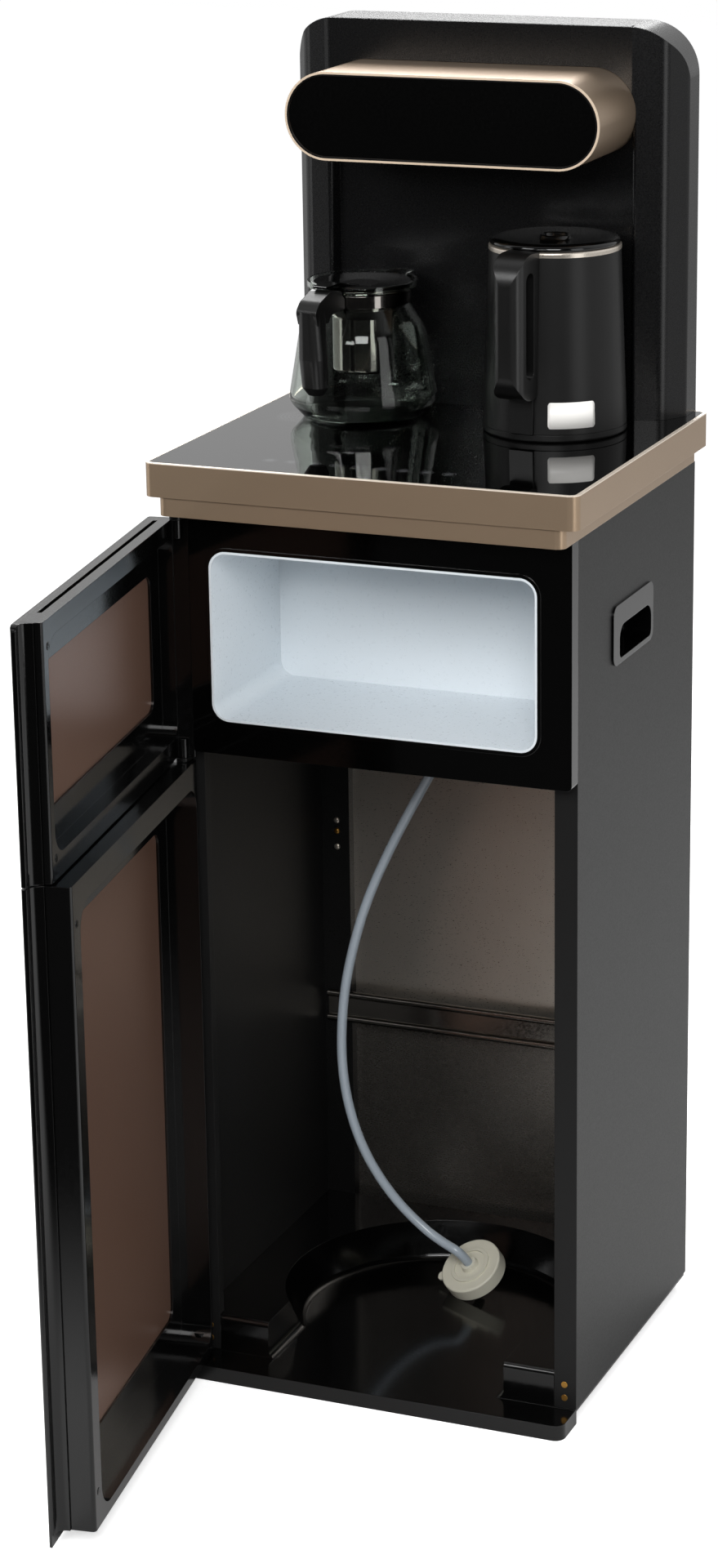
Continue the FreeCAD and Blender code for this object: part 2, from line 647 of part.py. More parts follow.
# The socket stands in the glass; its pin reaches into the foot of the kettle.
SOCKET_PIN_TOP = BAND_Z1 + 11.8
collar_z = BAND_Z1 + 1.2
socket = turned([
    (0, CAB_Z1 + SKIRT_WALL), (20, CAB_Z1 + SKIRT_WALL), (20, GLASS_Z0 - 2), (SOCKET_R, GLASS_Z0 - 2),
    (SOCKET_R, collar_z, 0.8), (9, collar_z), (9, BAND_Z1 - 6), (4, BAND_Z1 - 6), (4, SOCKET_PIN_TOP, 1.5),
    (0, SOCKET_PIN_TOP),
], KETTLE_X, KETTLE_Y)
save("kettle_socket", socket)

touch_z = GLASS_Z0 - 1.6
touch_pillars = [
    rod(3, x, FRONT + 4, CAB_Z1 + SKIRT_WALL, touch_z - CAB_Z1 - SKIRT_WALL) for x in (-110, -60, 60, 110)
]
save("touch_board", joined(box(-120, 120, FRONT - 9, FRONT + 16, touch_z, GLASS_Z0), *touch_pillars))

# ---------------------------------------------------------------------- tower
PILLAR_STEP = 2.5


def tower_plan(grow):
    """Half-round pillars beside a set-back centre panel, seen from above."""
    edge = HALF - grow
    pane = TOWER_PANEL_Y + grow
    rear = REAR - grow if grow else REAR
    inner = PILLAR_IN + grow
    front = PILLAR_Y + grow
    heel = REAR - 24 + grow / 2
    bow_x = HALF - 13 - grow / 2
    bow_y = REAR - 43 + grow
    step = PILLAR_STEP
    return [
        (-edge, rear), (-edge, heel, 6), (-bow_x, bow_y, 14), (-inner, front, 3),
        (-inner + step, pane), (inner - step, pane), (inner, front, 3), (bow_x, bow_y, 14),
        (edge, heel, 6), (edge, rear),
    ]


def tower_front_view(grow):
    edge = HALF - grow
    top = TOWER_Z1 - grow
    corner = TOWER_CORNER - grow
    return rect(-edge, edge, BAND_Z1, top, [0, 0, corner, corner])


tower_split = REAR - TOWER_WALL
plan = prism(tower_plan(0), "xy", BAND_Z1, TOWER_Z1 + 1)
# Above the head the panel sweeps forward until it is flush with the pillars.
brow_y = PILLAR_Y + 1.5
brow = prism([
    (TOWER_PANEL_Y + 2, HEAD_Z), (TOWER_PANEL_Y, HEAD_Z), (TOWER_PANEL_Y, HEAD_Z + 37.7, 30),
    (brow_y, TOWER_Z1 - 8.5), (brow_y, TOWER_Z1 + 1), (TOWER_PANEL_Y + 2, TOWER_Z1 + 1),
], "yz", -PILLAR_IN + PILLAR_STEP, PILLAR_IN - PILLAR_STEP)
plan = joined(plan, brow)
tower = plan.common(prism(tower_front_view(0), "xz", HEAD_FRONT, tower_split))
room = prism(tower_plan(TOWER_WALL), "xy", BAND_Z1 - 1, TOWER_Z1)
room_view = prism(tower_front_view(TOWER_WALL), "xz", HEAD_FRONT, REAR)
room = room.common(room_view)
pane_hole = prism(rect(-30, 30, HEAD_Z - 20, HEAD_Z + 20, 8), "xz", PILLAR_Y - 20, tower_split - 8)
tower = tower.cut(room)
tower = tower.cut(prism(tower_front_view(TOWER_WALL), "xz", tower_split - 8, REAR))
tower = tower.cut(pane_hole)
save("tower_front", tower)

back = prism(tower_front_view(0), "xz", tower_split, REAR)
vents = []
for i in range(8):
    z = BAND_Z1 + 55 + i * 12
    vents.append(prism(rect(-60, 60, z, z + 5, 2.4), "xz", tower_split - 1, REAR + 1))
save("tower_back", back.cut(Part.makeCompound(vents)))


def stadium(grow):
    half = HEAD_HALF + grow
    radius = HEAD_R + grow
    return rect(-half, half, HEAD_Z - radius, HEAD_Z + radius, radius - 0.01)


sleeve = prism(stadium(0), "xz", HEAD_FRONT, TOWER_PANEL_Y)
sleeve = sleeve.cut(prism(stadium(-HEAD_WALL), "xz", HEAD_FRONT - 1, TOWER_PANEL_Y + 1))
sleeve = sleeve.cut(plan)
spout_spots = ((KETTLE_X, KETTLE_Y), (TEAPOT_X, TEAPOT_Y))
sleeve_floor = HEAD_Z - HEAD_R
for x, y in spout_spots:
    sleeve = sleeve.cut(rod(SPOUT_R + 0.1, x, y, sleeve_floor - 2, HEAD_WALL + 6))
save("head_sleeve", sleeve)
PANEL_SET = 1.0
PANEL_T = 3.0
panel_gap = 0.15
panel = prism(stadium(-HEAD_WALL - panel_gap), "xz", HEAD_FRONT + PANEL_SET, HEAD_FRONT + PANEL_SET + PANEL_T)
save("head_panel", panel)
board_y = HEAD_FRONT + PANEL_SET + PANEL_T
save("display_board", box(-85, 85, board_y, board_y + 1.6, HEAD_Z - 20, HEAD_Z + 20))
spouts = []
spout_top = HEAD_Z - 22.3
seat_z = sleeve_floor + HEAD_WALL
for x, y in spout_spots:
    spouts.append(turned([
        (3, SPOUT_Z0), (SPOUT_R - 2, SPOUT_Z0, 1), (SPOUT_R, SPOUT_Z0 + 3), (SPOUT_R, seat_z),
        (SPOUT_R + 2, seat_z), (SPOUT_R + 2, seat_z + 3), (5, seat_z + 3), (5, spout_top), (3, spout_top),
    ], x, y))
save("spouts", *spouts)

LINE_R = 3.5
lines = []
for side, end in ((1, spout_spots[0]), (-1, spout_spots[1])):
    start_x = hose_x + side * 10
    route = [
        (start_x, hose_y, pump_z0 + 52), (start_x, hose_y, SERVICE_Z + 122), (side * 26, REAR - 64, CAB_Z1 - 17),
        (side * 32, REAR - 20, BAND_Z0 + 20), (side * 31, REAR - 19, BAND_Z1 + 105),
        (side * 26, REAR - 19, spout_top), (side * 24, REAR - 56, HEAD_Z + 4.7),
        (side * 55, REAR - 86, HEAD_Z + 4.7), (end[0], end[1], HEAD_Z - 4.3), (end[0], end[1], spout_top),
    ]
    lines.append(tube(route, LINE_R))
save("water_lines", *lines)

# ---------------------------------------------------------------------- doors
# Both doors are drawn shut, then swung out about the pin line.
OUTER = DOOR_OUTER_Y
SKIN_Y = OUTER + DOOR_SKIN
FRAME_X1 = HALF - 11.2
POCKET_Y = OUTER + 7.8   # floor of the moulded pocket
INSERT_Y = OUTER + 5.8   # face of the decorative insert
EDGE_T = 1.8             # thicker free edge, and the lip of the finger cove
COVE_R = 8.0
LIP_T = 1.5
LIP_DEPTH = 11.2
CORNER_R = 6.0
INSERT_T = 2.0
NOTCH_GAP = 0.4
DOOR_GAP = 1.5           # between the two doors
KNUCKLE_L = 14.0
HINGE_WALL = 4.0
PIN_IN = 12.0
door_mid = (LOWER_Z1 + UPPER_Z0) / 2
lower_top = door_mid - DOOR_GAP / 2
upper_bottom = door_mid + DOOR_GAP / 2
middle_z = door_mid - BRACKET_T / 2
bottom_z = TRAY_LIP
top_z = UPPER_Z1 + NOTCH_GAP


def swing(shape):
    turned_shape = shape.copy()
    turned_shape.rotate(V(HINGE_X, HINGE_Y, 0), V(0, 0, 1), -DOOR_OPEN)
    return turned_shape


def at_pin(radius, z0, z1):
    return rod(radius, HINGE_X, HINGE_Y, z0, z1 - z0)


def door_shell(z0, z1, edge_z0, corners):
    """Outer skin; its free edge turns in round a finger cove to the frame."""
    skin = prism(rect(-HALF, HALF, OUTER, SKIN_Y, [2.2, 2.2, 0, 0]), "xy", z0, z1)
    root = FRAME_X1 + FIT
    edge_y = SKIN_Y + EDGE_T
    lip_y = SKIN_Y + LIP_DEPTH
    edge = prism([
        (root, SKIN_Y), (HALF, SKIN_Y), (HALF, edge_y, 0.8), (root + LIP_T, edge_y, COVE_R),
        (root + LIP_T, lip_y), (root, lip_y),
    ], "xy", edge_z0, z1)
    face = prism(rect(-HALF, HALF, z0, z1, corners), "xz", OUTER - 1, lip_y + 1)
    return joined(skin, edge).common(face)


def door_frame(z0, z1, inner_y, pocket, insert):
    """Moulded frame: rims round a deep pocket, with a recess for the insert."""
    plan = [
        (-HALF, SKIN_Y), (FRAME_X1, SKIN_Y), (FRAME_X1, inner_y, 3), (-HALF + HINGE_WALL, inner_y),
        (-HALF + HINGE_WALL, LOWER_INNER_Y, 1.5), (-HALF, LOWER_INNER_Y, 2.4),
    ]
    if inner_y == LOWER_INNER_Y:
        plan = rect(-HALF, FRAME_X1, SKIN_Y, inner_y, [0, 0, 3, 3.5])
    block = prism(plan, "xy", z0, z1)
    room = prism(pocket, "xz", POCKET_Y, LOWER_INNER_Y + 1)
    recess = prism(insert, "xz", INSERT_Y - INSERT_T, POCKET_Y)
    return block.cut(room).cut(recess)


HINGE_RIM = 5.0          # rims round the pockets
LOWER_RIM = 28.5
UPPER_RIM = 22.0
LOWER_FRAME_Z0 = TRAY_LIP + 1.0
pocket_x0 = -HALF + HINGE_RIM
insert_x0 = -HALF + 26.0
insert_x1 = HALF - 38.0
lower_pocket = rect(pocket_x0, HALF - LOWER_RIM, LOWER_FRAME_Z0 + 8.5, LOWER_Z1 - 19.2, [18, 20, 20, 18])
upper_pocket = rect(pocket_x0, HALF - UPPER_RIM, UPPER_Z0 + 16.2, UPPER_Z1 - 14.1, [12, 18, 18, 12])
lower_insert = rect(insert_x0, insert_x1, LOWER_FRAME_Z0 + 38.5, LOWER_Z1 - 51.2, 10)
upper_insert = rect(insert_x0, insert_x1, UPPER_Z0 + 42.2, UPPER_Z1 - 38.1, 10)

lower = door_frame(LOWER_FRAME_Z0, lower_top, LOWER_INNER_Y, lower_pocket, lower_insert)
lower = joined(
    lower,
    at_pin(KNUCKLE_R, LOWER_FRAME_Z0 + 1, LOWER_FRAME_Z0 + 1 + KNUCKLE_L + 2),
    at_pin(KNUCKLE_R, lower_top - KNUCKLE_L - 2, lower_top - 1),
)
lower = lower.cut(at_pin(NOTCH_R, LOWER_FRAME_Z0 - 1, bottom_z + BRACKET_T + NOTCH_GAP))
lower = lower.cut(at_pin(NOTCH_R, middle_z - NOTCH_GAP, lower_top + 1))
lower = lower.cut(at_pin(PIN_BORE, 0, bottom_z + BRACKET_T + PIN_IN + FIT))
lower = lower.cut(at_pin(PIN_BORE, middle_z - PIN_IN - FIT, lower_top + 1))

upper = door_frame(upper_bottom, UPPER_Z1, UPPER_INNER_Y, upper_pocket, upper_insert)
upper = joined(
    upper,
    at_pin(KNUCKLE_R, upper_bottom, upper_bottom + KNUCKLE_L + 2),
    at_pin(KNUCKLE_R, UPPER_Z1 - KNUCKLE_L, UPPER_Z1),
)
upper = upper.cut([
    at_pin(NOTCH_R, upper_bottom - 1, middle_z + BRACKET_T + NOTCH_GAP),
    at_pin(PIN_BORE, upper_bottom - 1, middle_z + BRACKET_T + PIN_IN + FIT),
    at_pin(PIN_BORE, UPPER_Z1 - PIN_IN - FIT, UPPER_Z1 + 1),
])
groove = box(pocket_x0 + 7, insert_x1 + 1, POCKET_Y - 0.5, POCKET_Y + 3, UPPER_Z1 - 6, UPPER_Z1 + 1)
upper = upper.cut(groove)

slot_x = FRAME_X1 - 10
lower = lower.cut(box(slot_x - 16, slot_x, POCKET_Y + 4, POCKET_Y + 9, LOWER_FRAME_Z0 - 1, LOWER_FRAME_Z0 + 5))

save("lower_door_frame", swing(lower))
save("upper_door_frame", swing(upper))
save("lower_door_shell", swing(door_shell(LOWER_Z0, lower_top, LOWER_FRAME_Z0, 0)))
save("upper_door_shell", swing(door_shell(upper_bottom, UPPER_Z1, upper_bottom, [0, 0, CORNER_R, 0])))
save("lower_door_insert", swing(prism(lower_insert, "xz", INSERT_Y - INSERT_T, INSERT_Y)))
save("upper_door_insert", swing(prism(upper_insert, "xz", INSERT_Y - INSERT_T, INSERT_Y)))

BRACKET_X0 = HINGE_X - 4.6
BRACKET_X1 = HINGE_X + 5.1
BRACKET_Y0 = HINGE_Y - 5.3
brackets = []
for z, low, high in (
    (bottom_z, 0, PIN_IN), (middle_z, PIN_IN, PIN_IN), (top_z, PIN_IN + NOTCH_GAP, 0)
):
    leaf = prism(rect(BRACKET_X0, BRACKET_X1, BRACKET_Y0, FRONT, [4, 4, 0, 0]), "xy", z, z + BRACKET_T)
    pin = at_pin(PIN_R, z - low, z + BRACKET_T + high)
    brackets.append(joined(leaf, pin))
save("hinge_brackets", *brackets)

# ---------------------------------------------------------------- bottle line
# The route is the photographed one: out of the service deck, down in a long bow
# to the cap that lies in the bottle well.
CAP_R = 26.5
CAP_AXIS = V(-0.27, -0.52, 0.81).normalize()
cap_face = V(7.0, 34.0, 37.8)
cap_boss = 4.0
hose_end = cap_face + CAP_AXIS * cap_boss
hose_turn = hose_end + CAP_AXIS * 14
hose_route = [
    (hose_x, hose_y, collar_z0), (hose_x, hose_y, 488), (-23.5, 24, 457), (-54, 24, 400), (-76, 24, 351.5),
    (-89.6, 24.3, 307.6), (-99, 25, 263.7), (-102.5, 26, 213), (-98, 27, 170), (-84.6, 28.5, 127.7),
    (-60.3, 30.2, 90.6), (-33, 31, 66), (-14.5, 29, 56.5), tuple(hose_turn), tuple(hose_end),
]
save("suction_hose", tube(hose_route, HOSE_R))

CAP_SKIRT = 12.0
CAP_WALL = 2.0
cap = turned([
    (0, -2.5), (CAP_R - CAP_WALL, -2.5, 1.5), (CAP_R - CAP_WALL, -CAP_SKIRT), (CAP_R, -CAP_SKIRT),
    (CAP_R, 0, 1.5), (17, 0), (17, 1.5), (14, 1.5), (14, 0), (7.5, 0), (6.5, cap_boss), (0, cap_boss),
], 0, 0)
stub = rod(4, 0, 0, -21, 19)
tab = prism(rect(-CAP_R - 9, -CAP_R + 1.5, -4, 4, [3, 0, 0, 3]), "xy", -CAP_SKIRT, -CAP_SKIRT + 2)
cap = joined(cap, stub, tab)
tilt = V(0, 0, 1).cross(CAP_AXIS)
cap.rotate(V(0, 0, 0), tilt, math.degrees(V(0, 0, 1).getAngle(CAP_AXIS)))
cap.translate(cap_face)
save("bottle_cap", cap)

# --------------------------------------------------------------------- kettle
KETTLE_R0 = 54.75
KETTLE_R1 = 49.9
KETTLE_FOOT = BAND_Z1
KETTLE_RIM = KETTLE_FOOT + 138.8
KETTLE_FLOOR = KETTLE_FOOT + 17.8
KETTLE_WALL = 2.2
SEAM_UP = 5.4            # joint of the base ring above the foot
SEAM_H = 0.8
SEAM_IN = 0.6
POT_WALL = 1.0
POT_GAP = 2.5            # pot inside the rim of the shell
POT_R = KETTLE_R1 - POT_GAP
RIM_T = 4.0
RIM_LIP = 0.4
SEAT = 0.1               # a handle lies this close to the wall that carries it
FOOT_BORE = 26.0
FOOT_ROOF = KETTLE_FOOT + 14.3


def aimed(shape, heading, x, y):
    """Turn a shape drawn along +X to a heading in plan and move it to x, y."""
    shape.rotate(V(0, 0, 0), V(0, 0, 1), math.degrees(math.atan2(heading[1], heading[0])))
    shape.translate(V(x, y, 0))
    return shape


seam_z = KETTLE_FOOT + SEAM_UP
shell = turned([
    (0, FOOT_ROOF), (FOOT_BORE, FOOT_ROOF), (FOOT_BORE, KETTLE_FOOT), (KETTLE_R0, KETTLE_FOOT, 2),
    (KETTLE_R0, seam_z), (KETTLE_R0 - SEAM_IN, seam_z), (KETTLE_R0 - SEAM_IN, seam_z + SEAM_H),
    (KETTLE_R0, seam_z + SEAM_H), (KETTLE_R1, KETTLE_RIM), (KETTLE_R1 - KETTLE_WALL, KETTLE_RIM),
    (KETTLE_R0 - KETTLE_WALL - 0.6, KETTLE_FLOOR, 3), (0, KETTLE_FLOOR),
], KETTLE_X, KETTLE_Y)
save("kettle_shell", shell)
rim_top = KETTLE_RIM + RIM_T
pot = turned([
    (0, KETTLE_FLOOR), (POT_R, KETTLE_FLOOR, 8), (POT_R, KETTLE_RIM), (KETTLE_R1 + RIM_LIP, KETTLE_RIM),
    (KETTLE_R1 + RIM_LIP, rim_top, 1.5), (POT_R - POT_WALL, rim_top), (POT_R - POT_WALL, KETTLE_FLOOR + POT_WALL, 7),
    (0, KETTLE_FLOOR + POT_WALL),
], KETTLE_X, KETTLE_Y)
save("kettle_pot", pot)

LID_R = 49.4
PORT_R = 9.0
plug_r = POT_R - POT_WALL - FIT
kettle_lid = turned([
    (PORT_R, rim_top + 1), (plug_r - 2, rim_top + 1), (plug_r - 2, rim_top - 6), (plug_r, rim_top - 6),
    (plug_r, rim_top), (LID_R, rim_top), (LID_R, rim_top + 3.4, 1.4), (41, rim_top + 5.4, 3),
    (17, rim_top + 4.2), (15.5, rim_top + 11, 1.5), (PORT_R, rim_top + 11),
], KETTLE_X, KETTLE_Y)
save("kettle_lid", kettle_lid)

# The handle has a strip down the side of the body that carries the grip.
KETTLE_HEADING = (-0.129, -0.991)
GRIP_W = 12.0
GRIP_OUT = 82.0
GRIP_T = 12.0
STRIP_HALF = 10.0
STRIP_T = 1.8
grip_z0 = KETTLE_FOOT + 33.8
grip_z1 = KETTLE_RIM + 5
grip = prism(rect(44, GRIP_OUT, grip_z0, grip_z1, [16, 20, 22, 6]), "xz", -GRIP_W, GRIP_W)
gap = prism(
    rect(KETTLE_R0 + 2.75, GRIP_OUT - GRIP_T, grip_z0 + 16, grip_z1 - 14, [5, 6.5, 6.5, 5]),
    "xz", -GRIP_W - 1, GRIP_W + 1,
)
grip = grip.common(prism(rect(40, GRIP_OUT, -GRIP_W, GRIP_W, [0, 8, 8, 0]), "xy", grip_z0 - 5, grip_z1 + 5))
strip = prism([
    (40, seam_z + SEAM_H + 0.2), (KETTLE_R0 + STRIP_T, seam_z + SEAM_H + 0.2), (KETTLE_R1 + STRIP_T, KETTLE_RIM),
    (40, KETTLE_RIM),
], "xz", -STRIP_HALF, STRIP_HALF)
grip = aimed(joined(grip.cut(gap), strip), KETTLE_HEADING, KETTLE_X, KETTLE_Y)
keep_out = turned([
    (0, KETTLE_FOOT), (KETTLE_R0 + SEAT, KETTLE_FOOT), (KETTLE_R0 + SEAT, seam_z + SEAM_H),
    (KETTLE_R1 + SEAT, KETTLE_RIM), (KETTLE_R1 + RIM_LIP + SEAT, KETTLE_RIM),
    (KETTLE_R1 + RIM_LIP + SEAT, KETTLE_RIM + 26), (0, KETTLE_RIM + 26),
], KETTLE_X, KETTLE_Y)
save("kettle_handle", grip.cut(keep_out))

# --------------------------------------------------------------------- teapot
GLASS_WALL = 2.2
TEAPOT_HEADING = (-0.19, -0.982)
NECK_R = 36.0
RIM_R = 42.5
BELLY_R = 58.4
NECK_UP = 90.3           # neck, flare and mouth above the foot
FLARE_UP = 98.8
MOUTH_UP = 106.8
foot_z = BAND_Z1
neck_z = foot_z + NECK_UP
flare_z = foot_z + FLARE_UP
mouth_z = foot_z + MOUTH_UP


def teapot_body(grow, floor, top):
    """Drawn once for the outside and once, a wall smaller, for the inside."""
    return turned([
        (0, floor), (46 - grow * 0.8, floor, 7), (BELLY_R - grow, foot_z + 13.8 + grow / 4, 9),
        (49 - grow, foot_z + 68.8, 28), (NECK_R - grow, neck_z, 5),
        (NECK_R + 0.5 - grow, flare_z, 4), (RIM_R - grow, flare_z + 3), (RIM_R - grow, top), (0, top),
    ], TEAPOT_X, TEAPOT_Y)


def beak(grow, z0, z1):
    """Pouring lip drawn out of the rim, wider at the top."""
    rings = [
        outline([(30, -w), (out, -w * 0.5, w * 0.4), (out, w * 0.5, w * 0.4), (30, w)], "xy", z)
        for out, w, z in ((44 - grow, 13 - grow, z0), (53.5 - grow, 17 - grow, z1))
    ]
    return aimed(lofted(rings), BEAK_HEADING, TEAPOT_X, TEAPOT_Y)


BEAK_HEADING = (0.31, 0.951)
pot_outer = teapot_body(0, foot_z, mouth_z)
spout = beak(0, flare_z + 2, mouth_z).cut(beak(GLASS_WALL, flare_z + 3.6, mouth_z + 0.01))
body = pot_outer.fuse(spout).cut(teapot_body(GLASS_WALL, foot_z + 3, mouth_z + 5))
body = body.cut(beak(GLASS_WALL, flare_z + 3.6, mouth_z + 0.01))
save("teapot_glass", body)

BAND_T = 1.8
clamp = turned([
    (NECK_R - 3, neck_z - 0.5), (NECK_R + BAND_T, neck_z - 0.5), (NECK_R + BAND_T, flare_z + 1.5),
    (NECK_R - 3, flare_z + 1.5),
], TEAPOT_X, TEAPOT_Y)
save("teapot_band", clamp.cut(pot_outer))

GRIP_HALF = 11.0
ARM_HALF = 9.0
GRIP_END = foot_z + 27.8
grip_top = flare_z - 6
arm_in = NECK_R + BAND_T + SEAT
arm = prism([
    (arm_in, neck_z), (arm_in, flare_z + 1), (RIM_R + 1, flare_z + 6, 1), (56, mouth_z, 8), (72, mouth_z - 7, 9),
    (78, grip_top, 6), (75, grip_top - 10), (60, grip_top - 10), (57, neck_z - 2, 8),
], "xz", -ARM_HALF, ARM_HALF)
grip = lofted([
    outline(rect(59.5, 71, -6.5, 6.5, 5.5), "xy", GRIP_END),
    outline(rect(58.5, 74.5, -GRIP_HALF + 1, GRIP_HALF - 1, 7), "xy", GRIP_END + 6),
    outline(rect(59, 77.5, -GRIP_HALF, GRIP_HALF, 8.5), "xy", GRIP_END + 28),
    outline(rect(59.5, 78.5, -ARM_HALF, ARM_HALF, 7), "xy", grip_top),
])
handle = aimed(joined(arm, grip), TEAPOT_HEADING, TEAPOT_X, TEAPOT_Y)
clear_of_rim = turned([
    (0, flare_z - 2), (NECK_R + 2, flare_z - 2), (RIM_R + SEAT, flare_z + 2.6), (RIM_R + SEAT, mouth_z + 20),
    (0, mouth_z + 20),
], TEAPOT_X, TEAPOT_Y)
save("teapot_handle", handle.cut(clear_of_rim))

INFUSER_R = 23.5
FLANGE_T = 1.0
FLANGE_R = RIM_R - GLASS_WALL - 2 * FIT
neck_in = NECK_R - GLASS_WALL - 0.8
infuser_z0 = foot_z + 35.8
funnel_z = neck_z - 12
flange_z = flare_z + 3 + FIT
wall_t = 0.9
infuser = turned([
    (0, infuser_z0), (INFUSER_R, infuser_z0, 3), (INFUSER_R, funnel_z), (neck_in, funnel_z + 8),
    (neck_in, flange_z), (FLANGE_R, flange_z), (FLANGE_R, flange_z + FLANGE_T),
    (neck_in - wall_t, flange_z + FLANGE_T), (neck_in - wall_t, funnel_z + 8.5),
    (INFUSER_R - wall_t, funnel_z + 0.5), (INFUSER_R - wall_t, infuser_z0 + wall_t, 2.2),
    (0, infuser_z0 + wall_t),
], TEAPOT_X, TEAPOT_Y)
save("teapot_infuser", infuser)

# The lid is a dished disc inside the glass rim, with a thumb lever over the arm.
LID_DISC = 38.5
lid_z = flange_z + FLANGE_T
plug = neck_in - wall_t - FIT
disc = turned([
    (0, lid_z), (plug - 2, lid_z), (plug - 2, lid_z - 5), (plug, lid_z - 5), (plug, lid_z),
    (LID_DISC, lid_z), (LID_DISC, lid_z + 2.6, 1), (33, lid_z + 2.4, 6), (14, lid_z + 1), (0, lid_z + 1),
], TEAPOT_X, TEAPOT_Y)
over_rim = mouth_z + FIT
lever = prism([
    (10, lid_z + 0.4), (35.5, lid_z + 0.4), (35.5, over_rim), (58, over_rim + 0.8), (60, over_rim + 2.4, 0.8),
    (40, over_rim + 3.6, 12), (22, lid_z + 2.6, 8), (10, lid_z + 1.4),
], "xz", -8, 8)
lever = lever.common(prism([(8, -4), (38, -8), (61, -6, 4), (61, 6, 4), (38, 8), (8, 4)], "xy", lid_z, over_rim + 5))
lever = aimed(lever, TEAPOT_HEADING, TEAPOT_X, TEAPOT_Y)
save("teapot_lid", joined(disc, lever))
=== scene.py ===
import bpy
import math
import numpy as np
from mathutils import Matrix, Vector


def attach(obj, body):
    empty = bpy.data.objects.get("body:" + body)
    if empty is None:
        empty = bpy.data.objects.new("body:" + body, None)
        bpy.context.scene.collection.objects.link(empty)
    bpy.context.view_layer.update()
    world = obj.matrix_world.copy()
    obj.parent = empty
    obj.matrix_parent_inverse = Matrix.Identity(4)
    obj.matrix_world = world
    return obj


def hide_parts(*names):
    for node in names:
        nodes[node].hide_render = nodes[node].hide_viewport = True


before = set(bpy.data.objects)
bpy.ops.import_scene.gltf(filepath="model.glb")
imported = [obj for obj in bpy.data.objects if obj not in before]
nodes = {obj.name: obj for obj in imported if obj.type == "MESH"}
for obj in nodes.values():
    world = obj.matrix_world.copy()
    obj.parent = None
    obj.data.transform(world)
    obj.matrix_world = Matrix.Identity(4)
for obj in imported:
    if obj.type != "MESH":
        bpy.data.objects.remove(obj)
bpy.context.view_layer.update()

scene = bpy.context.scene
scene.view_settings.view_transform = "Standard"


# Camera: a long lens from the front right, a little above the worktop and rolled
# by less than a degree, as the photograph was taken.
def photo_camera():
    yaw, pitch, roll = 0.39937, 0.30570, -0.015258
    spot = (1.06186, -2.68569, 1.37575)
    sensor_mm, focal_px, height_px = 36, 4725.16, 1920
    level = Vector((-math.sin(yaw), math.cos(yaw), 0))
    ahead = level * math.cos(pitch) - Vector((0, 0, math.sin(pitch)))
    right = ahead.cross(Vector((0, 0, 1))).normalized()
    up = right.cross(ahead)
    rolled_right = math.cos(roll) * right + math.sin(roll) * up
    rolled_up = math.cos(roll) * up - math.sin(roll) * right
    lens = bpy.data.cameras.new("photo_camera")
    lens.sensor_fit = "VERTICAL"
    lens.sensor_height = sensor_mm
    lens.lens = sensor_mm * focal_px / height_px
    lens.clip_end = 50
    camera = bpy.data.objects.new("photo_camera", lens)
    turn = Matrix((rolled_right, rolled_up, -ahead)).transposed().to_4x4()
    camera.matrix_world = Matrix.Translation(spot) @ turn
    scene.collection.objects.link(camera)
    scene.camera = camera


photo_camera()


# Suction hose: food-grade silicone tube, 8 mm across, extruded in one length. It
# hangs from the pump inlet under the cool box, bends by its own weight and is
# pushed into the cap of the bottle.
def hex_rgb(code):
    """Linear colour of an sRGB hex code."""
    parts = [int(code[i:i + 2], 16) / 255 for i in (1, 3, 5)]
    linear = [p / 12.92 if p <= 0.04045 else ((p + 0.055) / 1.055) ** 2.4 for p in parts]
    return (*linear, 1.0)


def add(tree, kind, inputs=None, **settings):
    """One node with its settings and its inputs, which are values or sockets."""
    node = tree.nodes.new(kind)
    for name, value in settings.items():
        setattr(node, name, value)
    for name, value in (inputs or {}).items():
        socket = node.inputs[name]
        if isinstance(value, bpy.types.NodeSocket):
            tree.links.new(value, socket)
        else:
            socket.default_value = value
    return node


def empty_material(name):
    """A new material and its node tree without nodes."""
    material = bpy.data.materials.new(name)
    material.use_nodes = True
    material.node_tree.nodes.clear()
    return material, material.node_tree


